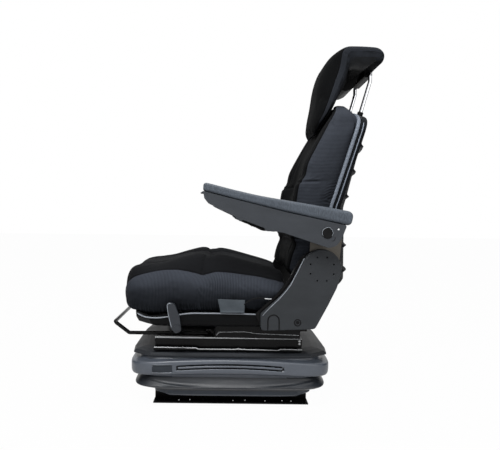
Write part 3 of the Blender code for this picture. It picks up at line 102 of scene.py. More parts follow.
def between(values: np.ndarray, low: float, high: float, soft: float) -> np.ndarray:
    """A band mask: 1 inside low..high, falling smoothly to 0 over soft on both sides."""
    return eased((values - low) / soft + 0.5) * eased((high - values) / soft + 0.5)


def along_table(places: np.ndarray, table: Table) -> np.ndarray:
    """Values of a table of (place, value) pairs, joined by straight lines."""
    known = np.array(table)
    return np.interp(places, known[:, 0], known[:, 1])


def catmull(control: np.ndarray, steps: np.ndarray) -> np.ndarray:
    """A uniform Catmull-Rom spline through the rows of control.

    For a step k + t the point is ((2a) + (b - p) t + (2p - 5a + 4b - n) t^2 + (3a - p - 3b + n) t^3) / 2,
    where p, a, b and n are the rows k-1, k, k+1 and k+2.

    Args:
        control: Rows of control values.
        steps: Positions, from 0 to the last row's number.

    Returns:
        One row for each step.
    """
    last = len(control) - 1
    k = np.clip(np.floor(steps).astype(int), 0, last - 1)
    t = (steps - k).reshape((-1,) + (1,) * (control.ndim - 1))
    p, a = control[np.clip(k - 1, 0, last)], control[k]
    b, n = control[k + 1], control[np.clip(k + 2, 0, last)]
    return 0.5 * (2 * a + (b - p) * t + (2 * p - 5 * a + 4 * b - n) * t**2 + (3 * a - p - 3 * b + n) * t**3)


def lofted(net: np.ndarray, rows: int, columns: int) -> np.ndarray:
    """Splines a net both ways: open along its stations, closed round its sections.

    Args:
        net: Stations x section points x 3.
        rows: Number of rows wanted.
        columns: Number of columns wanted.

    Returns:
        Rows x columns x 3.
    """
    stations, around = net.shape[:2]
    along = catmull(net, np.linspace(0, stations - 1, rows)).transpose(1, 0, 2)
    padded = np.concatenate([along[-2:], along, along[:3]])
    return catmull(padded, np.arange(columns) * around / columns + 2.0).transpose(1, 0, 2)


def ripple(values: np.ndarray, seed: int, scale: float) -> np.ndarray:
    """Smooth repeatable noise of one coordinate: five sines with seeded phases and odd ratios.

    Args:
        values: Coordinates.
        seed: Seed of the phases.
        scale: Length of the slowest wave.

    Returns:
        Values of about -1 to 1.
    """
    phases = np.random.default_rng(seed).uniform(0.0, TURN, 5)
    ratios = (1.0, 1.73, 2.41, 3.19, 4.67)
    waves = (np.sin(TURN * values / scale * r + p) / (1 + 0.35 * i) for i, (r, p) in enumerate(zip(ratios, phases)))
    return sum(waves) / 3.0


def outward(points: np.ndarray) -> np.ndarray:
    """Normals of a closed loft, from its two central differences, turned away from each row's middle.

    Args:
        points: Rows x columns x 3, with closed columns.

    Returns:
        Unit normals.
    """
    across = np.roll(points, -1, axis=1) - np.roll(points, 1, axis=1)
    normal = np.cross(across, np.gradient(points, axis=0))
    normal /= np.maximum(np.linalg.norm(normal, axis=2, keepdims=True), 1e-12)
    facing = np.sum(normal * (points - points.mean(axis=1, keepdims=True)))
    return normal if facing > 0 else -normal


def run_along(points: np.ndarray, axis: int = 0) -> np.ndarray:
    """Metres run along one axis of a grid of points, from 0 at its start."""
    steps = np.linalg.norm(np.diff(points, axis=axis), axis=-1)
    return np.insert(np.cumsum(steps, axis=axis), 0, 0.0, axis=axis)


def evenly(points: np.ndarray, spacing: float, extra: int = 1) -> np.ndarray:
    """Points evenly spaced along a line of points.

    Args:
        points: The line.
        spacing: Metres between the new points.
        extra: How many points more than whole spacings.

    Returns:
        The new points.
    """
    run = run_along(points)
    marks = np.linspace(0.0, run[-1], max(2, int(run[-1] / spacing) + extra))
    return np.stack([np.interp(marks, run, points[:, axis]) for axis in range(3)], axis=1)


def from_ends(count: int) -> np.ndarray:
    """How many rows each row lies from the nearer end."""
    return np.minimum(np.arange(count), np.arange(count)[::-1])


def rounded(count: int, power: float) -> tuple[np.ndarray, np.ndarray]:
    """Corners of |x|^p + |y|^p = 1 at even angles.

    Args:
        count: Number of corners.
        power: The exponent p.

    Returns:
        Their x and y.
    """
    turns = np.arange(count) * TURN / count
    c, s = np.cos(turns), np.sin(turns)
    scale = (np.abs(c) ** power + np.abs(s) ** power) ** (-1 / power)
    return c * scale, s * scale


def tube_points(path: np.ndarray, radius: np.ndarray, sides: int) -> np.ndarray:
    """A round tube's grid: point = path + r (cos a N + sin a B), in a frame carried along the path.

    Args:
        path: Points of the middle line.
        radius: One radius for each point.
        sides: Corners round the tube.

    Returns:
        Rows x sides x 3.
    """
    tangent = np.gradient(path, axis=0)
    tangent /= np.maximum(np.linalg.norm(tangent, axis=1, keepdims=True), 1e-12)
    guide = (0.0, 1.0, 0.0) if abs(tangent[:, 1]).mean() < 0.7 else (0.0, 0.0, 1.0)
    side = np.cross(tangent, guide)
    weak = np.linalg.norm(side, axis=1) < 1e-3
    side[weak] = np.cross(tangent[weak], (1.0, 0.0, 0.0))
    side /= np.maximum(np.linalg.norm(side, axis=1, keepdims=True), 1e-12)
    side[1:] *= np.cumprod(np.where(np.sum(side[1:] * side[:-1], axis=1) < 0, -1.0, 1.0))[:, None]
    up = np.cross(side, tangent)
    x, y = rounded(sides, 2)
    return path[:, None] + radius[:, None, None] * (x[None, :, None] * side[:, None] + y[None, :, None] * up[:, None])


def mirrored_net(half: np.ndarray) -> np.ndarray:
    """A closed section from its half: from the bottom middle to the top middle, then their mirror.

    Args:
        half: Stations x points x 3, whose first and last points are on Y = 0.

    Returns:
        Stations x (2 points - 2) x 3.
    """
    return np.concatenate([half, half[:, -2:0:-1] * (1, -1, 1)], axis=1)


def squared_plan(
    half_x: np.ndarray, half_y: np.ndarray, count: int, power: float, focus: tuple[float, float]
) -> np.ndarray:
    """Rounded rectangles seen from above: |x/a|^p + |y/b|^p = 1, evenly spread along the first one.

    On the long sides the points stand three times as close inside focus.

    Args:
        half_x: Half lengths, one for each row.
        half_y: Half widths, one for each row.
        count: Points round each row.
        power: The exponent p.
        focus: Low and high x of the stretch with closer points.

    Returns:
        Rows x count x 2.
    """
    unit = np.stack(rounded(16 * count, power), axis=1)
    sized = unit * (half_x[0], half_y[0])
    steps = np.linalg.norm(np.roll(sized, -1, axis=0) - sized, axis=1)
    steps = steps * (1.0 + 2.0 * between(sized[:, 0], *focus, 0.004) * (np.abs(unit[:, 1]) > 0.9))
    run = np.insert(np.cumsum(steps), 0, 0.0)
    marks = np.linspace(0.0, run[-1], count, endpoint=False)
    looped = np.concatenate([unit, unit[:1]])
    even = np.stack([np.interp(marks, run, looped[:, axis]) for axis in range(2)], axis=1)
    return even[None] * np.stack([half_x, half_y], axis=1)[:, None]


# Meshes


def shown(name: str, data: bpy.types.ID) -> bpy.types.Object:
    """An object of this mesh, camera or lamp, in the scene.

    Args:
        name: The object's name.
        data: What it shows.

    Returns:
        The object.
    """
    made = bpy.data.objects.new(name, data)
    bpy.context.scene.collection.objects.link(made)
    return made


def grid_object(
    name: str, points: np.ndarray, around: bool = False, capped: bool = False, panels: np.ndarray | None = None
) -> bpy.types.Object:
    """A smooth mesh object from a grid of points, four corners to a face, with metres along and around as its UV map.

    A capped loft also gets painted shade for its cloth, darker where it faces down: 0.22 + 0.78 eased((n + 0.6) /
    1.0), n being its normal's Z.

    Args:
        name: The piece's name.
        points: Rows x columns x 3.
        around: Whether the columns close into a loop.
        capped: Whether the first and last rows are closed by fans to their middles.
        panels: Material number for every face, rows-1 x face columns.

    Returns:
        The new object, linked to the scene.
    """
    rows, columns = points.shape[:2]
    i, j = np.meshgrid(np.arange(rows - 1), np.arange(columns if around else columns - 1), indexing="ij")
    after = (j + 1) % columns
    quads = np.stack([i * columns + j, i * columns + after, (i + 1) * columns + after, (i + 1) * columns + j],
                     axis=-1)
    faces = quads.reshape(-1, 4).tolist()
    verts = points.reshape(-1, 3)
    if capped:
        verts = np.concatenate([verts, points[[0, -1]].mean(axis=1)])
        first, top = rows * columns, (rows - 1) * columns
        k, k_after = j[0], after[0]
        faces += np.stack([k_after, k, np.full_like(k, first)], axis=-1).tolist()
        faces += np.stack([top + k, top + k_after, np.full_like(k, first + 1)], axis=-1).tolist()
    mesh = bpy.data.meshes.new(name)
    mesh.from_pydata(verts.tolist(), [], faces)
    closed = np.concatenate([points, points[:, :1]], axis=1) if around else points
    along = np.broadcast_to(run_along(closed).mean(axis=1, keepdims=True), closed.shape[:2])
    woven = np.stack([along, run_along(closed, 1)], axis=-1)
    corners = np.stack([woven[i, j], woven[i, j + 1], woven[i + 1, j + 1], woven[i + 1, j]], axis=2).reshape(-1, 2)
    loops = np.zeros((len(mesh.loops), 2), np.float32)
    loops[: len(corners)] = corners
    mesh.uv_layers.new(name=WEAVE_UV).data.foreach_set("uv", loops.reshape(-1))
    if capped:
        # Painted shade for the cloth: darker where the surface faces down, lighter where it faces up.
        painted_shade = 0.22 + 0.78 * eased(outward(points)[..., 2].reshape(-1) + 0.6)
        layer = mesh.attributes.new(PAINTED_SHADE_NAME, "FLOAT", "POINT")
        layer.data.foreach_set("value", np.append(painted_shade, [0.5, 0.5]).astype(np.float32))
    if panels is not None:
        numbers = np.zeros(len(mesh.polygons), dtype=np.int32)
        numbers[: panels.size] = panels.reshape(-1)
        mesh.polygons.foreach_set("material_index", numbers)
    mesh.polygons.foreach_set("use_smooth", np.ones(len(mesh.polygons), dtype=bool))
    mesh.update()
    return shown(name, mesh)


def turn_outwards(obj: bpy.types.Object, towards: tuple[float, float, float] | None = None) -> None:
    """Turn all faces outwards, or towards one side, without reordering corners.

    Args:
        obj: The piece.
        towards: Direction that an open sheet faces; None for a closed form.
    """
    mesh = obj.data
    if towards is None:
        corners = np.empty(len(mesh.vertices) * 3)
        mesh.vertices.foreach_get("co", corners)
        mesh.calc_loop_triangles()
        triangles = np.empty(len(mesh.loop_triangles) * 3, dtype=np.int32)
        mesh.loop_triangles.foreach_get("vertices", triangles)
        facing = np.linalg.det(corners.reshape(-1, 3)[triangles.reshape(-1, 3)]).sum()
    else:
        facing = sum(face.normal.dot(Vector(towards)) for face in mesh.polygons)
    if facing < 0:
        mesh.flip_normals()


def walled(piece: bpy.types.Object, thick: float) -> None:
    """Give an open surface a wall on its inner side."""
    wall = piece.modifiers.new("wall", "SOLIDIFY")
    wall.thickness, wall.offset = thick, -1.0


# Finishes


class Socket(Enum):
    """Kinds of group socket."""

    NUMBER = "NodeSocketFloat"
    COLOUR = "NodeSocketColor"


class Tree:
    """A short way to write a node tree."""

    def __init__(self, tree: bpy.types.NodeTree) -> None:
        """Keep the tree."""
        self.tree = tree

    def node(self, kind: str, **settings: object) -> bpy.types.Node:
        """Add a node.

        Args:
            kind: Blender's name of the node's type.
            settings: Its own properties and their values.

        Returns:
            The node.
        """
        made = self.tree.nodes.new(kind)
        for key, value in settings.items():
            setattr(made, key, value)
        return made

    def feed(self, socket: bpy.types.NodeSocket, value: object) -> None:
        """Link a socket to a socket, or set its value.

        Args:
            socket: The input.
            value: An output socket or a plain value.
        """
        if isinstance(value, bpy.types.NodeSocket):
            self.tree.links.new(value, socket)
        else:
            socket.default_value = value

    def filled(self, kind: str, inputs: dict[int | str, object], **settings: object) -> bpy.types.Node:
        """Add a node and feed its inputs.

        Args:
            kind: Blender's name of the node's type.
            inputs: Sockets or values by input name or number.
            settings: Properties and their values.

        Returns:
            The node.
        """
        made = self.node(kind, **settings)
        for key, value in inputs.items():
            self.feed(made.inputs[key], value)
        return made

    def math(self, operation: str, *values: object) -> bpy.types.NodeSocket:
        """A math node's result."""
        return self.filled("ShaderNodeMath", dict(enumerate(values)), operation=operation).outputs[0]

    def ramp(self, value: object, low: float, high: float, to_low: float = 0.0,
             to_high: float = 1.0) -> bpy.types.NodeSocket:
        """A smooth range: value from low..high to to_low..to_high."""
        inputs = dict(enumerate((value, low, high, to_low, to_high)))
        return self.filled("ShaderNodeMapRange", inputs, interpolation_type="SMOOTHSTEP").outputs[0]

    def noise(
        self, scale: float, detail: float = 2.0, stretch: tuple[float, ...] | None = None,
        turn: tuple[float, ...] = (0.0, 0.0, 0.0)
    ) -> bpy.types.NodeSocket:
        """A noise texture on the piece's Object coordinates.

        Args:
            scale: Waves in a metre.
            detail: Octaves.
            stretch: Factors for each axis, if any.
            turn: Angles of the stretched axes in radians.

        Returns:
            Its value.
        """
        place = self.solid()
        if stretch is not None:
            place = self.filled("ShaderNodeMapping", {"Vector": place, "Scale": stretch, "Rotation": turn}).outputs[0]
        return self.filled("ShaderNodeTexNoise", {"Vector": place, "Scale": scale, "Detail": detail}).outputs["Fac"]

    def solid(self) -> bpy.types.NodeSocket:
        """The piece's Object coordinates."""
        return self.node("ShaderNodeTexCoord").outputs["Object"]

    def weave(self) -> tuple[bpy.types.NodeSocket, bpy.types.NodeSocket]:
        """Metres along and around the piece, from its own UV map.

        Returns:
            Two sockets.
        """
        place = self.node("ShaderNodeUVMap", uv_map=WEAVE_UV).outputs[0]
        parts = self.filled("ShaderNodeSeparateXYZ", {0: place}).outputs
        return parts[0], parts[1]

    def lobe(self, value: object) -> bpy.types.NodeSocket:
        """|sin(pi v)|."""
        return self.math("ABSOLUTE", self.math("SINE", self.math("MULTIPLY", value, math.pi)))

    def mixed(self, factor: object, first: object, second: object) -> bpy.types.NodeSocket:
        """A mix of two colours."""
        return self.filled("ShaderNodeMix", {"Factor": factor, 6: first, 7: second}, data_type="RGBA").outputs[2]


class Group(Tree):
    """A shader node group while it is written."""

    def __init__(self, name: str, **takes: float | tuple[float, ...]) -> None:
        """Start the group.

        Args:
            name: The group's name.
            takes: Its inputs' defaults: a tuple makes a colour input, a number a number input.
        """
        super().__init__(bpy.data.node_groups.new(name, "ShaderNodeTree"))
        for label, value in takes.items():
            kind = Socket.COLOUR if isinstance(value, tuple) else Socket.NUMBER
            self.socket(label, "INPUT", kind).default_value = value
        self.takes = self.node("NodeGroupInput").outputs

    def socket(self, label: str, way: str, kind: Socket) -> bpy.types.NodeTreeInterfaceSocket:
        """Add a socket to the group's interface."""
        return self.tree.interface.new_socket(name=label, in_out=way, socket_type=kind.value)

    def gives(self, shade: object, height: object, rough: object = None) -> bpy.types.NodeTree:
        """Close the group with its outputs.

        Args:
            shade: The colour.
            height: The relief, for a bump.
            rough: The roughness, if the group sets it.

        Returns:
            The group.
        """
        results = {"Color": shade, "Height": height} | ({} if rough is None else {"Roughness": rough})
        for label in results:
            self.socket(label, "OUTPUT", Socket.COLOUR if label == "Color" else Socket.NUMBER)
        self.filled("NodeGroupOutput", results)
        return self.tree


BLACK, WHITE = (0.0, 0.0, 0.0, 1.0), (1.0, 1.0, 1.0, 1.0)


def knit_group() -> bpy.types.NodeTree:
    """Ribbed knit on the piece's weave map: ribs across its length, a finer thread along each rib, and a raised fuzz.

    Height = rib^0.6 (0.75 + 0.25 thread) + fuzz noise, with rib = |sin(pi u / pitch)| and thread =
    |sin(pi v / (pitch / 2.4))|. The colour is mixed from Dark by the piece's painted shade, which is low where the
    cloth hangs over and faces down: the cloth is painted darker where it faces down and lighter where it faces up.

    Returns:
        The group.
    """
    tree = Group("ribbed knit", Pitch=0.004, Fuzz=0.3, Dark=BLACK, Light=WHITE)
    takes, m = tree.takes, tree.math
    along, around = tree.weave()
    wander = m("MULTIPLY", m("SUBTRACT", tree.noise(26.0), 0.5), 0.0035)
    rib = m("POWER", tree.lobe(m("DIVIDE", m("ADD", along, wander), takes["Pitch"])), 0.6)
    thread = tree.lobe(m("DIVIDE", around, m("DIVIDE", takes["Pitch"], 2.4)))
    fuzz = tree.noise(900.0, 3.0)
    height = m("MULTIPLY", rib, m("MULTIPLY_ADD", thread, 0.25, 0.75))
    height = m("MULTIPLY_ADD", m("SUBTRACT", fuzz, 0.5), takes["Fuzz"], height)
    shade = m("MULTIPLY_ADD", height, 0.75, m("MULTIPLY", tree.noise(9.0, 3.0), 0.35))
    # The cloth's painted shade: darker where it faces down.
    painted_shade = tree.node("ShaderNodeAttribute", attribute_name=PAINTED_SHADE_NAME).outputs["Fac"]
    shade = tree.mixed(painted_shade, takes["Dark"], tree.mixed(shade, takes["Dark"], takes["Light"]))
    return tree.gives(shade, height, tree.ramp(fuzz, 0.2, 0.8, 0.78, 0.95))


def grain_group() -> bpy.types.NodeTree:
    """Moulded grain: pebbles from a cell texture, broken by fine noise, with broad handling marks.

    Height = 0.6 cell distance + 0.4 fine noise, mixed by Slant with streaks that lean in the side view; the
    marks lift the colour and change the roughness.

    Returns:
        The group.
    """
    tree = Group("moulded grain", Scale=900.0, Marks=0.5, Dark=BLACK, Light=WHITE, Gloss=0.45, Slant=0.0)
    takes, m = tree.takes, tree.math
    cells = tree.filled("ShaderNodeTexVoronoi", {"Vector": tree.solid(), "Scale": takes["Scale"]}, feature="F1")
    pebbles = m("MULTIPLY_ADD", cells.outputs["Distance"], 0.6, m("MULTIPLY", tree.noise(1400.0), 0.4))
    leaning = tree.ramp(tree.noise(620.0, 2.0, (1.0, 1.0, 0.22), (0.0, 0.6, 0.0)), 0.36, 0.64)
    height = m("MULTIPLY_ADD", m("SUBTRACT", leaning, pebbles), takes["Slant"], pebbles)
    marks = tree.noise(14.0, 4.0, (1.0, 1.0, 1.7))
    streaks = tree.noise(60.0, 3.0, (0.25, 1.0, 1.0))
    broad = m("MULTIPLY", m("MULTIPLY_ADD", streaks, 0.4, m("MULTIPLY", marks, 0.6)), takes["Marks"])
    shade = tree.mixed(m("MULTIPLY_ADD", height, 0.35, broad), takes["Dark"], takes["Light"])
    return tree.gives(shade, height, m("MULTIPLY_ADD", m("SUBTRACT", marks, 0.5), 0.22, takes["Gloss"]))


def metal_group() -> bpy.types.NodeTree:
    """Lacquered or plated steel: faint brushing along X, specks of dust and slight orange peel.

    Height = 0.5 peel + Brush times the brushing; dust = noise above a threshold.

    Returns:
        The group.
    """
    tree = Group("worn metal", Brush=0.5, Dust=0.3, Base=BLACK, Speck=(0.16, 0.16, 0.155, 1.0), Gloss=0.2)
    takes, m = tree.takes, tree.math
    peel = tree.noise(260.0)
    height = m("MULTIPLY_ADD", tree.noise(700.0, 2.0, (0.04, 1.0, 1.0)), takes["Brush"], m("MULTIPLY", peel, 0.5))
    specks = tree.ramp(tree.noise(420.0, 3.0), 0.66, 0.74)
    cloud = m("MULTIPLY", tree.ramp(tree.noise(22.0, 3.0), 0.42, 0.72), 0.35)
    dust = m("MULTIPLY", m("MAXIMUM", specks, cloud), takes["Dust"])
    rough = m("MULTIPLY_ADD", m("SUBTRACT", peel, 0.5), 0.12, takes["Gloss"])
    return tree.gives(tree.mixed(dust, takes["Base"], takes["Speck"]), height, m("MULTIPLY_ADD", dust, 0.4, rough))


def hatch_group() -> bpy.types.NodeTree:
    """A twisted cord's strands on the weave map: slanted lobes |sin(pi (u / pitch + v / turn))|^0.7.

    Returns:
        The group.
    """
    tree = Group("twisted cord", Pitch=0.004, Turn=0.012, Dark=BLACK, Light=WHITE)
    takes, m = tree.takes, tree.math
    along, around = tree.weave()
    strand = tree.lobe(m("ADD", m("DIVIDE", along, takes["Pitch"]), m("DIVIDE", around, takes["Turn"])))
    height = m("MULTIPLY_ADD", tree.noise(1200.0), 0.2, m("POWER", strand, 0.7))
    return tree.gives(tree.mixed(height, takes["Dark"], takes["Light"]), height)


def colour(seen: str) -> tuple[float, ...]:
    """A colour as seen on a screen, turned to the linear values that a shader takes.

    Args:
        seen: Red, green and blue in six hexadecimal digits.

    Returns:
        Linear colour with alpha 1.
    """
    parts = np.array(list(bytes.fromhex(seen))) / 255.0
    linear = np.where(parts <= 0.04045, parts / 12.92, ((parts + 0.055) / 1.055) ** 2.4)
    return (*map(float, linear), 1.0)


@dataclass(frozen=True)
class Finish:
    """One surface finish: a node group, its values, and the shader's own constants."""

    name: str
    group: str
    values: dict[str, object]
    bump: float
    depth: float
    metallic: float = 0.0
    sheen: float = 0.0
    roughness: float | None = None
    specular: float = 0.5

    def made(self, groups: dict[str, bpy.types.NodeTree]) -> bpy.types.Material:
        """The material: the group's colour, roughness and height feed a Principled shader.

        Args:
            groups: Node groups by name.

        Returns:
            The material.
        """
        material = bpy.data.materials.new(self.name)
        material.use_nodes = True
        tree = Tree(material.node_tree)
        group = tree.filled("ShaderNodeGroup", self.values, node_tree=groups[self.group])
        height = group.outputs["Height"]
        bump = tree.filled("ShaderNodeBump", {"Strength": self.bump, "Distance": self.depth, "Height": height})
        values = {
            "Base Color": group.outputs["Color"],
            "Roughness": group.outputs["Roughness"] if self.roughness is None else self.roughness,
            "Normal": bump.outputs["Normal"],
            "Metallic": self.metallic,
            "Sheen Weight": self.sheen,
            "Specular IOR Level": self.specular,
        }
        for key, value in values.items():
            tree.feed(material.node_tree.nodes["Principled BSDF"].inputs[key], value)
        return material


class Wardrobe:
    """Every finish of the seat, made once."""

    def __init__(self) -> None:
        """Make the node groups and the materials."""
        groups = {"knit": knit_group(), "grain": grain_group(), "metal": metal_group(), "hatch": hatch_group()}
        self.made = {finish.name: finish.made(groups) for finish in FINISHES}

    def dress(self, obj: bpy.types.Object, *names: str) -> None:
        """Give a piece these materials in the order of its material numbers, or a CAD node the first one.

        Args:
            obj: The piece or CAD node.
            names: Names of finishes.
        """
        if obj.material_slots:
            for place in obj.material_slots:
                place.material = self.made[names[0]]
        else:
            for name in names:
                obj.data.materials.append(self.made[name])


def knit(name: str, dark: str, light: str, pitch: float, bump: float, sheen: float) -> Finish:
    """A knitted fabric's finish."""
    values = {"Pitch": pitch, "Fuzz": 0.35, "Dark": colour(dark), "Light": colour(light)}
    return Finish(name, "knit", values, bump, 0.0009, sheen=sheen, specular=0.04)


def moulded(
    name: str, dark: str, light: str, scale: float, gloss: float, bump: float, marks: float = 0.5,
    specular: float = 0.3, slant: float = 0.0
) -> Finish:
    """A moulded plastic's or rubber's finish."""
    values = {"Scale": scale, "Marks": marks, "Dark": colour(dark), "Light": colour(light), "Gloss": gloss,
              "Slant": slant}
    return Finish(name, "grain", values, bump, 0.0003, specular=specular)


def metal(name: str, base: str, gloss: float, metallic: float, dust: float, brush: float,
          specular: float = 0.5) -> Finish:
    """A metal's finish."""
    values = {"Brush": brush, "Dust": dust, "Base": colour(base), "Gloss": gloss}
    return Finish(name, "metal", values, 0.25, 0.0002, metallic=metallic, specular=specular)


FINISHES = (
    knit("ribbed side cloth", "060708", "40444C", 0.0042, 0.6, 0.0),
    knit("inset cloth", "060607", "1A1B1D", 0.0026, 0.35, 0.0),
    # A darker copy of the inset cloth: painted shade for the inserts that face forward.
    knit("shaded inset cloth", "030304", "0F1011", 0.0026, 0.3, 0.0),
    knit("headrest cloth", "090A0B", "2E3137", 0.0026, 0.25, 0.02),
    knit("gathered tape", "050506", "1E1F22", 0.0052, 0.7, 0.0),
    moulded("backshell plastic", "08090A", "1E2024", 700.0, 0.62, 0.25, 0.5, 0.04),
    # A pale line painted as the highlight on the backshell's rounded corner.
    moulded("painted shell highlight", "545C67", "8C95A2", 700.0, 0.35, 0.15, 0.5, 0.5),
    moulded("satin moulding", "1C1E21", "484C52", 1100.0, 0.46, 0.35, 0.5, 0.25),
    moulded("recliner moulding", "1A1C1E", "3E4145", 1300.0, 0.5, 0.35, 0.5, 0.2),
    moulded("dark moulding", "060607", "141516", 800.0, 0.45, 0.3, 0.5, 0.06),
    moulded("cover moulding", "101114", "34373C", 420.0, 0.5, 0.6, 0.7, 0.2),
    moulded("armrest skin", "2E333A", "68707A", 650.0, 0.52, 0.7, 0.35, 0.25, 0.7),
    moulded("bellows rubber", "2A2E35", "686F7A", 900.0, 0.38, 0.2, 0.45, 0.6),
    # A darker copy of the bellows rubber: painted shade on its lower fold and foot.
    moulded("lower bellows in painted shade", "111317", "2C3138", 900.0, 0.42, 0.2, 0.45, 0.4),
    # Lighter than the other dark mouldings: partly the tray's own grey, partly painted light lifting it out of the
    # bellows' shadow.
    moulded("tray grey with painted light", "282D34", "4C535D", 900.0, 0.5, 0.2, 0.45, 0.3),
    # Painted shade for grooves: the slot on the bellows and the knock-out line on the recliner covers.
    moulded("bellows groove", "050506", "101112", 900.0, 0.5, 0.2, 0.45, 0.1),
    moulded("bellows recess", "16191D", "424850", 900.0, 0.45, 0.2, 0.45, 0.2),
    moulded("lever plastic", "101216", "32373F", 900.0, 0.34, 0.2, 0.5, 0.4),
    moulded("tag cloth", "222529", "545B61", 1500.0, 0.6, 0.6, 0.9, 0.1),
    moulded("webbing", "060607", "1A1A1C", 1500.0, 0.6, 0.6, 0.5, 0.1),
    moulded("pale paint", "C4C6C8", "E8EAEC", 900.0, 0.5, 0.1),
    # Painted highlights: pale lines along edges, lips and rims, and the hub's glint.
    moulded("edge highlight", "5A5F66", "A8AEB6", 900.0, 0.4, 0.1),
    # Painted highlights along the slides' folded edges and risers.
    moulded("worn edge", "96999C", "DEE0E2", 900.0, 0.4, 0.1),
    metal("black lacquer", "060607", 0.22, 0.0, 0.06, 0.3, 0.12),
    metal("dipped steel", "0A0A0B", 0.4, 0.0, 0.12, 0.3, 0.1),
    metal("bare steel", "4E4A44", 0.36, 0.7, 0.25, 0.8),
    metal("bright chrome", "CDCED1", 0.07, 1.0, 0.0, 0.15),
    metal("plated steel", "969798", 0.3, 1.0, 0.1, 0.5),
    Finish(
        "hatched bead", "hatch", {"Pitch": 0.0042, "Turn": 0.016, "Dark": colour("1E2127"),
                                  "Light": colour("767E8A")}, 0.6, 0.0008,
        roughness=0.5, specular=0.3,
    ),
)


# Padding


PRESSURE = 4.0
FRAMES = 20
CLOTH = {
    "use_pressure": True, "tension_stiffness": 12.0, "compression_stiffness": 12.0, "bending_stiffness": 0.6,
    "quality": 5,
}


@dataclass
class Padding:
    """A padded form: a net of sections that is splined, swollen as cloth between its seams and refined."""

    name: str
    net: np.ndarray
    seams_across: tuple[float, ...]
    seams_along: tuple[float, ...]
    rows: int
    columns: int
    swell: float

    def swollen(self, points: np.ndarray) -> np.ndarray:
        """The grid after Blender's cloth has puffed it between its pinned seams, capped at the swell.

        Args:
            points: The coarse grid.

        Returns:
            The moved grid.
        """
        rows, columns = points.shape[:2]
        body = grid_object("puffing", points, True, True)
        turn_outwards(body)
        stations, around = self.net.shape[:2]
        row_place = np.linspace(0, stations - 1, rows)[:, None]
        column_place = (np.arange(columns) * around / columns)[None, :]
        pin = np.zeros((rows, columns))
        for place in self.seams_across:
            pin = np.maximum(pin, np.clip(1.2 - np.abs(row_place - place) / (stations / rows), 0, 1))
        for place in self.seams_along:
            gap = np.abs((column_place - place + around / 2) % around - around / 2)
            pin = np.maximum(pin, np.clip(1.2 - gap / (around / columns), 0, 1))
        pin[0], pin[-1] = 1.0, 1.0
        group = body.vertex_groups.new(name="seams")
        flat = pin.reshape(-1)
        for weight, below in ((1.0, 2.0), (0.6, 1.02), (0.3, 0.51)):
            chosen = np.nonzero((flat >= weight) & (flat < below))[0]
            if len(chosen):
                group.add(chosen.tolist(), weight, "REPLACE")
        group.add([rows * columns, rows * columns + 1], 1.0, "REPLACE")
        cloth = body.modifiers.new("padding", "CLOTH")
        for name, value in CLOTH.items():
            setattr(cloth.settings, name, value)
        cloth.settings.uniform_pressure_force = PRESSURE
        cloth.settings.effector_weights.gravity = 0.0
        cloth.settings.vertex_group_mass = "seams"
        cloth.point_cache.frame_start, cloth.point_cache.frame_end = 1, FRAMES
        scene = bpy.context.scene
        for frame in range(1, FRAMES + 1):
            scene.frame_set(frame)
        graph = bpy.context.evaluated_depsgraph_get()
        puffed = body.evaluated_get(graph).to_mesh()
        found = np.empty(len(puffed.vertices) * 3, np.float32)
        puffed.vertices.foreach_get("co", found)
        moved = found.reshape(-1, 3)[: rows * columns].reshape(rows, columns, 3) - points
        body.evaluated_get(graph).to_mesh_clear()
        scene.frame_set(1)
        bpy.data.objects.remove(body)
        size = np.linalg.norm(moved, axis=2, keepdims=True)
        LOG.info("%s swells up to %.1f mm, capped at %.1f mm", self.name, 1000 * float(size.max()), 1000 * self.swell)
        return points + moved * np.minimum(1.0, self.swell / np.maximum(size, 1e-9))

    def refined(self) -> np.ndarray:
        """The finished grid: swollen on a coarse grid, then splined to the full one.

        Returns:
            Rows x columns x 3.
        """
        points = lofted(self.net, self.rows // 3, self.columns // 3)
        points = self.swollen(points)
        return lofted(points, self.rows, self.columns)


def inset_faces(column: np.ndarray, rows: int, first: float, last: float) -> np.ndarray:
    """Material numbers of a cover's faces: 1 between two seams and 0 beyond them.

    Args:
        column: Each column's place in the net.
        rows: Number of rows of faces.
        first: The first seam's place.
        last: The last seam's place.

    Returns:
        Rows x columns.
    """
    middle = column + 0.5 * column[1]
    return np.repeat(((middle > first) & (middle < last)).astype(int)[None], rows, axis=0)


# Sub-assemblies


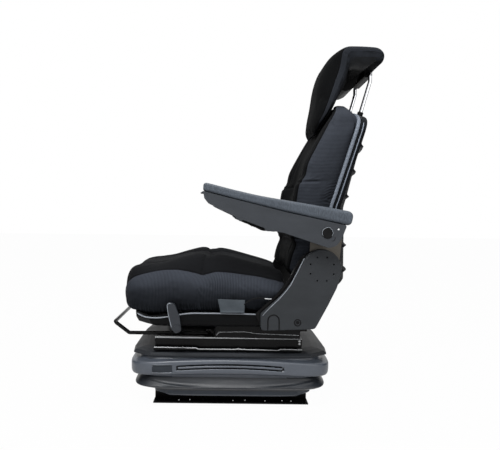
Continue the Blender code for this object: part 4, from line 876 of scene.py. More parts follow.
@dataclass
class SeatCushion:
    """The seat cushion: ribbed side bands, a dark top in two lobes, and gathers along its lower edge."""

    half_width: float = 0.245
    fold_x: float = -0.117
    fold_bow: float = 0.03
    stations: tuple[float, ...] = (
        -0.3872, -0.3845, -0.379, -0.37, -0.36, -0.345, -0.322, -0.295, -0.256, -0.215, -0.178, -0.152, -0.133,
        -0.117, -0.101, -0.083, -0.056, -0.02, 0.02, 0.055, 0.08, 0.094, 0.099, 0.1005,
    )
    inset: Table = (
        (-0.3872, 0.182), (-0.3845, 0.152), (-0.379, 0.116), (-0.37, 0.08), (-0.362, 0.056), (-0.35, 0.033),
        (-0.33, 0.015), (-0.3, 0.005), (-0.25, 0.0), (0.0, 0.001), (0.065, 0.004), (0.09, 0.01), (0.099, 0.024),
        (0.1005, 0.034),
    )
    roll: Table = (
        (-0.3872, 0.346), (-0.3845, 0.358), (-0.379, 0.376), (-0.37, 0.391), (-0.362, 0.4), (-0.35, 0.408),
        (-0.33, 0.4135), (-0.295, 0.417), (-0.26, 0.422), (-0.215, 0.435), (-0.163, 0.449), (-0.14, 0.449),
        (-0.117, 0.442), (-0.094, 0.448), (-0.056, 0.442), (0.0285, 0.419), (0.065, 0.409), (0.093, 0.4),
        (0.099, 0.39), (0.1005, 0.38),
    )
    middle: Table = (
        (-0.3872, 0.345), (-0.3845, 0.357), (-0.379, 0.374), (-0.365, 0.394), (-0.35, 0.404), (-0.33, 0.41),
        (-0.295, 0.412), (-0.26, 0.416), (-0.215, 0.426), (-0.16, 0.436), (-0.14, 0.434), (-0.117, 0.426),
        (-0.092, 0.432), (-0.05, 0.426), (0.029, 0.409), (0.065, 0.401), (0.094, 0.392), (0.1005, 0.376),
    )
    seam: Table = (
        (-0.3872, 0.324), (-0.3845, 0.332), (-0.379, 0.346), (-0.365, 0.362), (-0.351, 0.377), (-0.319, 0.391),
        (-0.266, 0.405), (-0.207, 0.407), (-0.164, 0.397), (-0.143, 0.391), (-0.122, 0.397), (-0.1, 0.402),
        (-0.054, 0.399), (0.032, 0.388), (0.09, 0.374), (0.1005, 0.366),
    )
    lift: Table = (
        (-0.3872, 0.024), (-0.3845, 0.018), (-0.379, 0.01), (-0.365, 0.003), (-0.35, 0.0), (-0.325, 0.001),
        (0.065, 0.0), (0.09, 0.004), (0.099, 0.016), (0.1005, 0.022),
    )
    tape: Table = ((-0.013, 0.301), (-0.012, 0.284), (0.07, 0.284), (0.075, 0.322), (0.053, 0.317), (0.022, 0.292))

    def lip(self, x: np.ndarray) -> np.ndarray:
        """Height of the pan's lip: 0.2853 with a dip of 0.01 exp(-((x + 0.275) / 0.045)^2)."""
        return 0.2853 - 0.01 * bell(x + 0.275, 0.045)

    def bend(self, x: np.ndarray, y: np.ndarray) -> np.ndarray:
        """How far the cross seam runs forward at y: bow (y / half)^2 exp(-((x - fold) / 0.06)^2)."""
        return self.fold_bow * (y / self.half_width) ** 2 * bell(x - self.fold_x, 0.06)

    def net(self) -> np.ndarray:
        """Sections from the bottom middle, up the side band, over the roll and to the top middle.

        Returns:
            The closed net.
        """
        x = np.array(self.stations)
        half = self.half_width - along_table(x, self.inset)
        room = half / self.half_width
        roll = along_table(x - 0.5 * self.bend(x, half - 0.062), self.roll)
        middle = along_table(x, self.middle)
        low = self.lip(x) + along_table(x, self.lift)
        seam = along_table(x - self.bend(x, half), self.seam)
        rise = seam - low
        inward = (0.09, 0.034, 0.023, 0.016, 0.0065, -0.0005, 0.0085, 0.027, 0.043, 0.064, 0.098, 0.137, 0.186)
        across = [0 * x] + [half - step * room for step in inward] + [0 * x]
        height = [low + 0.002, low, low, low + 0.004, low + 0.016, low + 0.36 * rise, low + 0.66 * rise,
                  low + 0.88 * rise]
        height += [seam, seam + 0.5 * (roll - seam), seam + 0.84 * (roll - seam), roll, (roll + middle) / 2 - 0.001,
                   middle + 0.001, middle]
        y, z = np.stack(across, axis=1), np.stack(height, axis=1)
        wide = np.repeat(x[:, None], y.shape[1], axis=1)
        return mirrored_net(np.stack([wide - self.bend(wide, y), y, z], axis=2))

    def gathered(self, points: np.ndarray, column: np.ndarray) -> np.ndarray:
        """Add the gathers, creases and stitched grooves as moves along the normal.

        Args:
            points: The refined grid.
            column: Each column's place in the net.

        Returns:
            The finished grid.
        """
        normal = outward(points)
        x, y, z = points[..., 0], points[..., 1], points[..., 2]
        low = self.lip(x)
        side = eased((np.abs(y) - 0.2) / 0.02)
        reach = low + 0.032 + 0.012 * ripple(x, 3, 0.05)
        strength = side * eased((reach - z) / 0.03) * (0.35 + 0.65 * between(x, -0.4, -0.09, 0.06))
        folds = np.sin(TURN * (x + 0.1 * (z - low) + 0.004 * ripple(x, 5, 0.06)) / 0.0082)
        folds = folds + 0.5 * np.sin(TURN * x / 0.0053 + 2.0 * ripple(z, 6, 0.05))
        move = 0.0017 * strength * folds
        move += 0.0012 * side * ripple(x + 0.4 * z, 8, 0.11) * ripple(z - 0.3 * x, 9, 0.09)
        top = eased((z - low - 0.1) / 0.015)
        crease = np.abs(y) - 0.105 - 0.3 * (x + 0.15)
        move -= 0.0028 * top * between(x, -0.26, -0.15, 0.05) * bell(crease, 0.01)
        across = x + self.bend(x, y) - self.fold_x
        move -= 0.0022 * top * bell(across, 0.006)
        move -= 0.003 * bell(nearer(column, 12.0, 16.0), 0.13) * between(x, -0.33, 0.09, 0.03)
        move -= 0.0022 * bell(nearer(column, 8.0, 20.0), 0.12) * between(x, -0.376, 0.09, 0.01)
        tuck = between(x, -0.012, 0.07, 0.012) * side * eased((0.322 - z) / 0.01)
        move += 0.0011 * tuck * np.sin(TURN * (x - 0.9 * z) / 0.0062)
        return points + normal * move[..., None]

    def in_tape(self, points: np.ndarray) -> np.ndarray:
        """Which faces of the left side lie in the gathered tape's outline: an odd number of edges passed along X.

        Args:
            points: The finished grid.

        Returns:
            Rows-1 x columns, true inside.
        """
        middle = (points[:-1] + points[1:]) / 2
        x, y, z = middle[..., 0], middle[..., 1], middle[..., 2]
        corners = np.array(self.tape)
        start, end = corners, np.roll(corners, -1, axis=0)
        x, z = x[..., None], z[..., None]
        rise = np.where(np.abs(end[:, 1] - start[:, 1]) < 1e-9, 1e-9, end[:, 1] - start[:, 1])
        cut = start[:, 0] + (z - start[:, 1]) / rise * (end[:, 0] - start[:, 0])
        passed = ((start[:, 1] > z) != (end[:, 1] > z)) & (x < cut)
        return (passed.sum(axis=-1) % 2 == 1) & (y < -0.22)

    def build(self, wardrobe: Wardrobe) -> bpy.types.Object:
        """Make the cushion and let it stand for its plain solid.

        Args:
            wardrobe: The finishes.

        Returns:
            The piece.
        """
        net = self.net()
        folds = (self.stations.index(self.fold_x),)
        grid = Padding("seat cushion", net, folds, (3, 8, 12, 16, 20, 25), 318, 366, 0.0035).refined()
        column = np.arange(grid.shape[1]) * net.shape[1] / grid.shape[1]
        points = self.gathered(grid, column[None])
        panels = inset_faces(column, points.shape[0] - 1, 8, 20)
        panels[self.in_tape(points)] = 2
        piece = grid_object("cushion_seat", points, True, True, panels)
        turn_outwards(piece)
        wardrobe.dress(piece, "ribbed side cloth", "inset cloth", "gathered tape")
        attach(piece, "seat")
        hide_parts("seat_cushion")
        return piece


@dataclass
class BackCushion:
    """The backrest cushion: ribbed side rolls round an insert painted darker as shade, stepped at the lumbar pad's
    seams.
    """

    shell_half: float = 0.216
    bend_z: float = 0.59
    edge_x: float = 0.238
    lean: float = 0.326
    steps_z: tuple[float, ...] = (0.498, 0.665)
    stations: tuple[float, ...] = (
        0.369, 0.372, 0.382, 0.395, 0.409, 0.427, 0.448, 0.468, 0.484, 0.498, 0.515, 0.54, 0.57, 0.61, 0.645, 0.665,
        0.685, 0.72, 0.76, 0.8, 0.835, 0.86, 0.878, 0.89, 0.899, 0.909, 0.918, 0.926, 0.929,
    )
    grow: Table = (
        (0.369, -0.05), (0.372, -0.022), (0.382, 0.002), (0.395, 0.01), (0.42, 0.015), (0.65, 0.015),
        (0.672, 0.014), (0.73, 0.013), (0.79, 0.008), (0.84, -0.003), (0.86, -0.008), (0.878, -0.026),
        (0.89, -0.052), (0.899, -0.08), (0.909, -0.116), (0.918, -0.15), (0.926, -0.182), (0.929, -0.196),
    )
    cut: Table = (
        (0.844, 0.0), (0.85, 0.005), (0.862, 0.022), (0.878, 0.036), (0.89, 0.042), (0.909, 0.034), (0.929, 0.016),
    )
    roll: Table = (
        (0.369, 0.185), (0.372, 0.165), (0.382, 0.14), (0.395, 0.117), (0.409, 0.107), (0.427, 0.109),
        (0.449, 0.1146), (0.468, 0.1215), (0.484, 0.125), (0.498, 0.118), (0.515, 0.1178), (0.54, 0.119),
        (0.57, 0.121), (0.61, 0.125), (0.629, 0.127), (0.6475, 0.13), (0.665, 0.1365), (0.685, 0.15),
        (0.7065, 0.152), (0.744, 0.169), (0.79, 0.194), (0.828, 0.2145), (0.855, 0.231), (0.878, 0.246),
        (0.89, 0.253), (0.899, 0.258), (0.909, 0.264), (0.918, 0.271), (0.926, 0.281), (0.929, 0.29),
    )
    middle: Table = (
        (0.369, 0.188), (0.372, 0.17), (0.382, 0.146), (0.395, 0.128), (0.42, 0.123), (0.468, 0.131),
        (0.484, 0.137), (0.498, 0.132), (0.515, 0.134), (0.54, 0.137), (0.57, 0.14), (0.62, 0.148), (0.6475, 0.157),
        (0.665, 0.163), (0.685, 0.17), (0.73, 0.184), (0.79, 0.207), (0.84, 0.229), (0.87, 0.245), (0.89, 0.256),
        (0.909, 0.267), (0.918, 0.273), (0.926, 0.283), (0.929, 0.292),
    )
    draw: Table = (
        (0.369, 0.028), (0.372, 0.012), (0.382, 0.003), (0.4, 0.0), (0.58, 0.0004), (0.59, 0.0016), (0.605, 0.0003),
        (0.84, 0.0003), (0.87, 0.001), (0.89, 0.006), (0.899, 0.012), (0.909, 0.015), (0.918, 0.018),
        (0.926, 0.024), (0.929, 0.029),
    )

    def shell_edge(self, z: np.ndarray) -> np.ndarray:
        """X of the backshell's edge: 0.238 + 0.326 max(0, z - 0.59)."""
        return self.edge_x + self.lean * np.maximum(0.0, z - self.bend_z)

    def net(self) -> np.ndarray:
        """Sections from the rear middle, round the side, to the front middle; the rear corner stops at the cord.

        Returns:
            The closed net.
        """
        z = np.array(self.stations)
        half = self.shell_half + along_table(z, self.grow)
        room = half / self.shell_half
        rear = self.shell_edge(z) - 0.0006 - along_table(z, self.draw)
        roll, middle = along_table(z, self.roll), along_table(z, self.middle)
        deep = rear - roll
        corner = np.minimum(0.013, 0.3 * deep)
        inward = (0.07, 0.022, 0.012, 0.0025, 0.0, 0.002, 0.01, 0.026, 0.052, 0.086, 0.119, 0.162)
        across = [0 * z] + [half - step * room for step in inward] + [0 * z]
        depth = [rear - 0.001, rear, rear - 0.002, rear - corner, rear - 0.24 * deep, rear - 0.48 * deep,
                 rear - 0.7 * deep]
        depth += [rear - 0.9 * deep, roll + 0.003, roll, roll + 0.004, (roll + middle) / 2 + 0.003, middle, middle]
        y, x = np.stack(across, axis=1), np.stack(depth, axis=1)
        share = (x - roll[:, None]) / deep[:, None] * (y / half[:, None]) ** 3
        x = x - along_table(z, self.cut)[:, None] * np.clip(share, 0.0, 1.0)
        height = np.repeat(z[:, None], y.shape[1], axis=1)
        return mirrored_net(np.stack([x, y, height], axis=2))

    def gathered(self, points: np.ndarray, column: np.ndarray) -> np.ndarray:
        """Add the fans of gathers where the cover turns round the shell's bend and its top, and the stitched seams.

        Args:
            points: The refined grid.
            column: Each column's place in the net.

        Returns:
            The finished grid.
        """
        normal = outward(points)
        x, y, z = points[..., 0], points[..., 1], points[..., 2]
        edge = self.shell_edge(z)
        side = eased((np.abs(y) - 0.165) / 0.03)
        near_edge = eased((x - edge + 0.06) / 0.045)
        slant = z + 0.35 * (edge - x) * np.sign(z - 0.615)
        fan = bell(z - 0.618, 0.032) * near_edge * side
        move = 0.0013 * fan * np.sin(TURN * (slant + 0.003 * ripple(x, 12, 0.05)) / 0.0088)
        top = bell(z - 0.852, 0.026) * eased((x - edge + 0.032) / 0.026) * side
        move += 0.0007 * top * np.sin(TURN * z / 0.0066)
        foot = bell(z - 0.43, 0.05) * near_edge * side
        move += 0.0008 * foot * np.sin(TURN * (z + 0.3 * x) / 0.011)
        move += 0.0011 * side * ripple(z + 0.3 * x, 14, 0.14) * ripple(x - 0.2 * z, 15, 0.08)
        body = between(z, 0.385, 0.9, 0.02)
        move -= 0.0022 * bell(nearer(column, 7.6, 18.4), 0.11) * body
        move -= 0.0026 * bell(nearer(column, 10.0, 16.0), 0.12) * between(z, 0.4, 0.86, 0.03)
        for step in self.steps_z:
            move -= 0.0026 * bell(z - step, 0.0038) * eased((0.62 * (edge - 0.1) - (x - 0.1)) / 0.02)
        return points + normal * move[..., None]

    def build(self, wardrobe: Wardrobe) -> bpy.types.Object:
        """Make the cushion and let it stand for its plain solid.

        Args:
            wardrobe: The finishes.

        Returns:
            The piece.
        """
        net = self.net()
        folds = tuple(self.stations.index(z) for z in self.steps_z)
        grid = Padding("backrest cushion", net, folds, (3, 8, 10, 16, 18, 23), 342, 330, 0.0035).refined()
        column = np.arange(grid.shape[1]) * net.shape[1] / grid.shape[1]
        points = self.gathered(grid, column[None])
        panels = inset_faces(column, points.shape[0] - 1, 7.6, 18.4)
        piece = grid_object("cushion_backrest", points, True, True, panels)
        turn_outwards(piece)
        # The front insert takes the darker copy of the inset cloth: painted shade.
        wardrobe.dress(piece, "ribbed side cloth", "shaded inset cloth")
        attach(piece, "backrest")
        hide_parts("backrest_cushion")
        return piece


@dataclass
class Headrest:
    """The headrest pad: a thin crowned shield whose top turns back over the rods."""

    sections: Table = (
        (0.206, 0.8265, 0.213, 0.83, 0.001, 0.062), (0.207, 0.833, 0.215, 0.837, 0.006, 0.08),
        (0.209, 0.843, 0.22, 0.847, 0.01, 0.1), (0.215, 0.859, 0.2285, 0.86, 0.016, 0.122),
        (0.231, 0.889, 0.2455, 0.889, 0.028, 0.138), (0.2495, 0.936, 0.265, 0.933, 0.0375, 0.143),
        (0.267, 0.9826, 0.283, 0.977, 0.049, 0.144), (0.2805, 1.021, 0.297, 1.013, 0.054, 0.145),
        (0.285, 1.06, 0.303, 1.03, 0.043, 0.145), (0.2885, 1.079, 0.313, 1.034, 0.027, 0.145),
        (0.2975, 1.0865, 0.327, 1.0345, 0.012, 0.145), (0.32, 1.0875, 0.342, 1.0345, 0.0, 0.145),
        (0.36, 1.0862, 0.37, 1.0345, 0.0, 0.145), (0.386, 1.0832, 0.393, 1.035, 0.0, 0.144),
        (0.4, 1.0735, 0.402, 1.041, 0.0, 0.142),
    )
    tip: tuple[float, float] = (0.4065, 1.059)
    tip_half: float = 0.14
    pinch: Table = ((0.0, 0.0), (0.88, 0.0), (0.945, 0.05), (0.978, 0.2), (0.996, 0.46), (1.0, 0.66))
    shares: tuple[float, ...] = (1.0, 0.996, 0.978, 0.945, 0.88, 0.74, 0.52, 0.27)

    def net(self) -> np.ndarray:
        """Loops in side view, set across the width, bulged in front by b (1 - |s|^4.5) and pinched at both ends.

        Returns:
            The closed net.
        """
        half = np.array(self.shares)
        shares = np.concatenate([-half, [0.0], half[::-1]])
        pinch = along_table(np.abs(shares), self.pinch)[:, None, None]
        table = np.array(self.sections)
        front, rear = table[:, 0:2], table[:, 2:4]
        centre = (front + rear) / 2
        fronts = np.repeat(front[None], len(shares), axis=0)
        fronts[..., 0] -= table[None, :, 4] * (1 - np.abs(shares[:, None]) ** 4.5)
        fronts += (centre - fronts) * pinch
        rears = rear + (centre - rear) * pinch
        tips = self.tip + (centre[-1] - self.tip) * pinch
        loops = np.concatenate([fronts, tips, rears[:, ::-1]], axis=1)
        reach = np.concatenate([table[:, 5], [self.tip_half], table[::-1, 5]])
        return np.stack([loops[..., 0], shares[:, None] * reach[None], loops[..., 1]], axis=2)

    def build(self, wardrobe: Wardrobe) -> bpy.types.Object:
        """Make the pad and let it stand for its plain solid.

        Args:
            wardrobe: The finishes.

        Returns:
            The piece.
        """
        net = self.net()
        points = Padding("headrest pad", net, (3, 13), (0, 30), 255, 372, 0.0022).refined()
        normal = outward(points)
        y, z = points[..., 1], points[..., 2]
        soft = ripple(y + 0.4 * z, 21, 0.16) * ripple(z - 0.5 * y, 22, 0.2)
        rows, columns = points.shape[:2]
        row = np.arange(rows) * (net.shape[0] - 1) / (rows - 1)
        seam = nearer(row, 3.0, 13.0)[:, None]
        column = (np.arange(columns) * net.shape[1] / columns)[None]
        groove = bell(seam, 0.1) * (column < 10.0)
        points = points + normal * (0.0006 * soft - 0.0014 * groove)[..., None]
        row, column = row[:-1] + 0.5 * (net.shape[0] - 1) / (rows - 1), column[0] + 0.5 * net.shape[1] / columns
        inside = ((row > 3.0) & (row < 13.0))[:, None] & ((column > 0.5) & (column < 9.5))[None]
        piece = grid_object("cushion_headrest", points, True, True, inside.astype(int))
        turn_outwards(piece)
        # The front panel takes the darker copy of the inset cloth: painted shade.
        wardrobe.dress(piece, "headrest cloth", "shaded inset cloth")
        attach(piece, "headrest")
        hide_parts("headrest_pad")
        return piece


@dataclass
class Bellows:
    """The folded sleeve: an upper band with a long slot and a bare recess on each side, over a sloping lower fold."""

    centre_x: float = -0.056
    foot_shift: float = 0.008
    cover_half_x: float = 0.294
    cover_half_y: float = 0.212
    neck_z: float = 0.056
    columns: int = 420
    rows: int = 108
    folds: Table = (
        (0.048, -0.0517, -0.0187, 0.0), (0.055, -0.05, -0.017, 0.0), (0.0566, -0.03, -0.005, 0.0),
        (0.06, -0.02, 0.001, 0.0), (0.0635, -0.012, 0.0066, 0.0), (0.0668, -0.0086, 0.0092, 0.0),
        (0.07, -0.0096, 0.008, 0.0), (0.076, -0.015, 0.0025, 0.0005), (0.084, -0.02, -0.002, 0.001),
        (0.089, -0.025, -0.0045, 0.003), (0.092, -0.03, -0.007, 0.006), (0.0938, -0.025, -0.004, 0.0085),
        (0.0955, -0.01, 0.0045, 0.0095), (0.0975, -0.002, 0.0105, 0.01), (0.101, 0.002, 0.013, 0.0105),
        (0.109, 0.0036, 0.0138, 0.0115), (0.12, 0.004, 0.014, 0.013), (0.129, 0.0036, 0.0136, 0.014),
        (0.1335, 0.0005, 0.0108, 0.014), (0.136, -0.006, 0.006, 0.012), (0.1385, -0.015, -0.002, 0.009),
        (0.142, -0.02, -0.006, 0.005), (0.151, -0.022, -0.008, 0.0),
    )
    weights: tuple[int, ...] = (1, 1, 2, 2, 3, 4, 4, 4, 3, 3, 3, 3, 4, 6, 14, 18, 15, 7, 4, 3, 3, 2)
    slot_ends: tuple[float, float] = (-0.21, 0.0965)
    slot_radius: float = 0.005
    slot_groove: float = 0.002
    ridge: tuple[float, float] = (0.0016, 0.0022)
    hollow: tuple[float, float, float] = (0.0014, 0.0075, 0.005)
    recess: tuple[float, float, float, float] = (-0.2806, -0.2243, 0.1086, 0.13)

    def slot_move(self, x: np.ndarray, z: np.ndarray) -> np.ndarray:
        """Depth of the long slot's groove: a capsule's outline bent along an arc.

        The middle line is z = 0.1228 + 0.0062 (1 - ((x - c) / h)^2); the groove is exp(-((d - r) / w)^2), d the
        distance from that line's segment.

        Args:
            x: Places along the band.
            z: Heights.

        Returns:
            Inward moves in metres.
        """
        low, high = self.slot_ends
        centre, half = (low + high) / 2, (high - low) / 2
        line = 0.1228 + 0.0062 * (1 - np.clip((x - centre) / half, -1.15, 1.15) ** 2)
        past = np.maximum(np.abs(x - centre) - (half - self.slot_radius), 0.0)
        gap = np.hypot(past, z - line)
        groove = bell(gap - self.slot_radius, self.slot_groove)
        island = eased((self.slot_radius - gap) / 0.003)
        return 0.0052 * groove - 0.0006 * island

    def recess_move(self, x: np.ndarray, z: np.ndarray) -> np.ndarray:
        """Depth of the bare rectangular recess with its fine raised rim.

        Args:
            x: Places along the band.
            z: Heights.

        Returns:
            Inward moves in metres.
        """
        x0, x1, z0, z1 = self.recess
        slope = 0.03 * (x - x0)
        inside = between(x, x0, x1, 0.0016) * between(z - slope, z0, z1, 0.0012)
        past_x, past_z = 0.0022, 0.0018
        wider = between(x, x0 - past_x, x1 + past_x, 0.0016) * between(z - slope, z0 - past_z, z1 + past_z, 0.0012)
        return 0.0024 * inside - 0.0009 * (wider - inside)

    def points(self) -> np.ndarray:
        """The sleeve's grid: the folds splined in height, on rounded rectangles in plan.

        Each side carries a ridge 1.6 mm high along z = 0.0625 + 0.022 ((x - c) / 0.27)^2, and a hollow 1.4 mm deep
        7.5 mm above it, both of the form exp(-(d / w)^2).

        Returns:
            Rows x columns x 3.
        """
        table = np.array(self.folds)
        run = np.cumsum((0, *self.weights)) / sum(self.weights)
        steps = np.interp(np.linspace(0, 1, self.rows), run, np.arange(len(table)))
        fine = catmull(table, steps)
        z, half_x, half_y = fine[:, 0], self.cover_half_x + fine[:, 1], self.cover_half_y + fine[:, 2]
        focus = (self.recess[0] - self.centre_x - 0.006, self.recess[1] - self.centre_x + 0.006)
        outline = squared_plan(half_x, half_y, self.columns, 8.0, focus)
        centre = self.centre_x + self.foot_shift * (1 - np.clip((z - self.neck_z) / 0.01, 0, 1))
        x = outline[..., 0] + centre[:, None]
        share = outline[..., 0] / half_x[:, None]
        height = z[:, None] + fine[:, 3][:, None] * (1 - share**2)
        grid = np.stack([x, outline[..., 1], height], axis=2)
        normal = outward(grid)
        on_side = eased((np.abs(grid[..., 1]) - 0.195) / 0.012)
        above = grid[..., 2] - 0.0625 - 0.022 * ((grid[..., 0] - self.centre_x) / 0.27) ** 2
        high, wide = self.ridge
        deep, above_it, broad = self.hollow
        ridge = high * bell(above, wide) - deep * bell(above - above_it, broad)
        move = self.slot_move(grid[..., 0], grid[..., 2]) + self.recess_move(grid[..., 0], grid[..., 2])
        wave = 0.0005 * ripple(grid[..., 0] + grid[..., 1], 31, 0.22) * ripple(grid[..., 2], 32, 0.05)
        return grid - normal * ((move - ridge) * on_side + wave)[..., None]

    def build(self, wardrobe: Wardrobe) -> bpy.types.Object:
        """Make the sleeve and let it stand for its plain solid.

        Args:
            wardrobe: The finishes.

        Returns:
            The piece.
        """
        grid = self.points()
        middle = (grid[:-1] + grid[1:]) / 2
        middle = (middle + np.roll(middle, -1, axis=1)) / 2
        side = np.abs(middle[..., 1]) > 0.205
        # Faces below z 0.0925 take the darker rubber: painted shade on the lower fold and foot.
        panels = np.where(middle[..., 2] < 0.0925, 3, 0)
        # Faces in the slot's groove take a black finish: painted shade in the groove.
        panels = np.where(side & (self.slot_move(middle[..., 0], middle[..., 2]) > 0.0019), 1, panels)
        panels = np.where(side & (self.recess_move(middle[..., 0], middle[..., 2]) > 0.0012), 2, panels)
        piece = grid_object("bellows_sleeve", grid, True, False, panels)
        turn_outwards(piece)
        walled(piece, 0.0022)
        wardrobe.dress(piece, "bellows rubber", "bellows groove", "bellows recess", "lower bellows in painted shade")
        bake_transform(piece)
        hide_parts("bellows")
        return piece


@dataclass
class Backshell:
    """The ribbed backshell, the hatched cord along its edge and a fine pale line beside it, painted as the highlight
    on the shell's rounded corner.
    """

    half_width: float = 0.216
    edge_x: float = 0.238
    bend_z: float = 0.59
    lean: float = 0.326
    low_z: float = 0.363
    top_z: float = 0.885
    side_depth: float = 0.018
    crown: Table = ((0.56, 0.048), (0.64, 0.045), (0.7, 0.043), (0.78, 0.04), (0.885, 0.036))
    power: Table = ((0.56, 2.2), (0.74, 1.3))
    rib_first: float = 0.403
    rib_pitch: float = 0.0745
    rib_count: int = 6
    rib_height: float = 0.0085
    cord_wide: float = 0.0056
    cord_thick: float = 0.005

    def crests(self) -> np.ndarray:
        """Heights of the ribs' crests."""
        return self.rib_first + np.arange(self.rib_count) * self.rib_pitch

    def edge(self, z: np.ndarray) -> np.ndarray:
        """X of the edge: upright below the bend, leaning back above it, with the bend rounded over 20 mm.

        With d = z - 0.59 it is 0.238 + 0.326 (0.5 (d + sqrt(d^2 + 0.01^2)) - 0.005 exp(-(d / 0.02)^2)).

        Args:
            z: Heights.

        Returns:
            One X for each height.
        """
        past = z - self.bend_z
        bend = 0.5 * (past + np.sqrt(past**2 + 0.01**2)) - 0.005 * bell(past, 0.02)
        return self.edge_x + self.lean * bend

    def half_at(self, z: np.ndarray) -> np.ndarray:
        """Half width: 0.216 - 0.131 t^3 above z = 0.8, t running to 1 at the top."""
        top = np.clip((z - 0.8) / (self.top_z - 0.8), 0.0, 1.0)
        return self.half_width - 0.131 * top**3

    def depth_at(self, share: np.ndarray, z: np.ndarray) -> np.ndarray:
        """Depth behind the edge: side wall, crown c(z) (1 - |s|^p(z)) and the pointed ribs.

        Args:
            share: -1 to 1 across the shell.
            z: Heights.

        Returns:
            Depths in metres.
        """
        crown = along_table(z, self.crown) * (1 - np.abs(share) ** along_table(z, self.power))
        corner = 1 - np.clip((np.abs(share) - 0.965) / 0.035, 0, 1) ** 2.4
        gap = np.min(np.abs(z[..., None] - self.crests()), axis=-1)
        rib = self.rib_height * np.clip(1 - gap / 0.0085, 0, 1) ** 1.3 * eased((0.9 - np.abs(share)) / 0.1)
        low = np.clip((z - self.low_z) / 0.016, 0, 1)
        high = np.clip((self.top_z - z) / 0.03, 0, 1)
        fall = (0.45 + 0.55 * np.sqrt(1 - (1 - low) ** 2)) * (0.3 + 0.7 * np.sqrt(1 - (1 - high) ** 2))
        return (self.side_depth * (0.12 + 0.88 * corner) + crown + rib) * fall

    def shell(self, wardrobe: Wardrobe) -> bpy.types.Object:
        """The shell as one walled surface.

        Args:
            wardrobe: The finishes.

        Returns:
            The piece.
        """
        z = np.sort(np.concatenate([np.linspace(self.low_z, self.top_z, 236), self.crests()]))
        spread = np.linspace(-1, 1, 121)
        share = np.sign(spread) * (1 - (1 - np.abs(spread)) ** 1.35)
        height, across = np.meshgrid(z, share, indexing="ij")
        edge = self.edge(height)
        grid = np.stack([edge + self.depth_at(across, height), across * self.half_at(height), height], axis=2)
        front, back = grid[:, :1].copy(), grid[:, -1:].copy()
        front[..., 0] = back[..., 0] = edge[:, :1] + 0.0004
        grid = np.concatenate([front, (front + grid[:, :1]) / 2, grid, (back + grid[:, -1:]) / 2, back], axis=1)
        piece = grid_object("shell_moulding", grid)
        turn_outwards(piece, (1, 0, 0))
        walled(piece, 0.0028)
        wardrobe.dress(piece, "backshell plastic")
        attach(piece, "backrest")
        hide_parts("backshell")
        return piece

    def edge_path(self) -> np.ndarray:
        """The shell's edge line: up one side, over the top and down the other, with a point every 3 mm.

        Returns:
            Points.
        """
        z = np.linspace(self.low_z + 0.004, self.top_z, 200)
        side = np.stack([self.edge(z), -self.half_at(z), z], axis=1)
        return evenly(np.concatenate([side, side[::-1] * (1, -1, 1)]), 0.003, 0)

    def along_edge(self, name: str, finish: str, wide: float, thick: float, back: float, out: float,
                   wardrobe: Wardrobe) -> bpy.types.Object:
        """A flat-oval length beside the edge line.

        Its section is |a/wide|^2.6 + |b/thick|^2.6 = 1, with a square to the edge's own plane and b outwards in it.

        Args:
            name: The piece's name.
            finish: Its finish.
            wide: Half size from front to rear.
            thick: Half size outwards.
            back: Metres that its middle lies behind the edge.
            out: Metres that its middle lies outside the edge.
            wardrobe: The finishes.

        Returns:
            The piece.
        """
        path = self.edge_path()
        lean = self.lean * eased((path[:, 2] - self.bend_z) / 0.03 + 0.5)
        square = np.stack([np.ones(len(path)), np.zeros(len(path)), -lean], axis=1)
        square /= np.linalg.norm(square, axis=1, keepdims=True)
        away = np.cross(np.gradient(path, axis=0), square)
        away /= np.linalg.norm(away, axis=1, keepdims=True)
        if np.sum(away * (path - (path[:, 0].mean(), 0.0, 0.6))) < 0:
            away = -away
        a, b = (part[None, :, None] for part in rounded(18, 2.6))
        size = np.clip(0.35 + from_ends(len(path)) / 4.0, 0, 1)[:, None, None]
        centre = path + square * back + away * out
        grid = centre[:, None] + size * (wide * a * square[:, None] + thick * b * away[:, None])
        piece = grid_object(name, grid, True, True)
        turn_outwards(piece)
        wardrobe.dress(piece, finish)
        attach(piece, "backrest")
        return piece

    def build(self, wardrobe: Wardrobe) -> list[bpy.types.Object]:
        """Make the shell, its cord and the pale line painted as its corner's highlight.

        Args:
            wardrobe: The finishes.

        Returns:
            The pieces.
        """
        cord = self.along_edge("shell_cord", "hatched bead", self.cord_wide, self.cord_thick, -0.0076, -0.001,
                               wardrobe)
        # A pale line painted as the highlight on the shell's rounded corner.
        lip = self.along_edge("shell_painted_highlight", "painted shell highlight", 0.0017, 0.0017, 0.0075, -0.0006, wardrobe)
        return [self.shell(wardrobe), cord, lip]


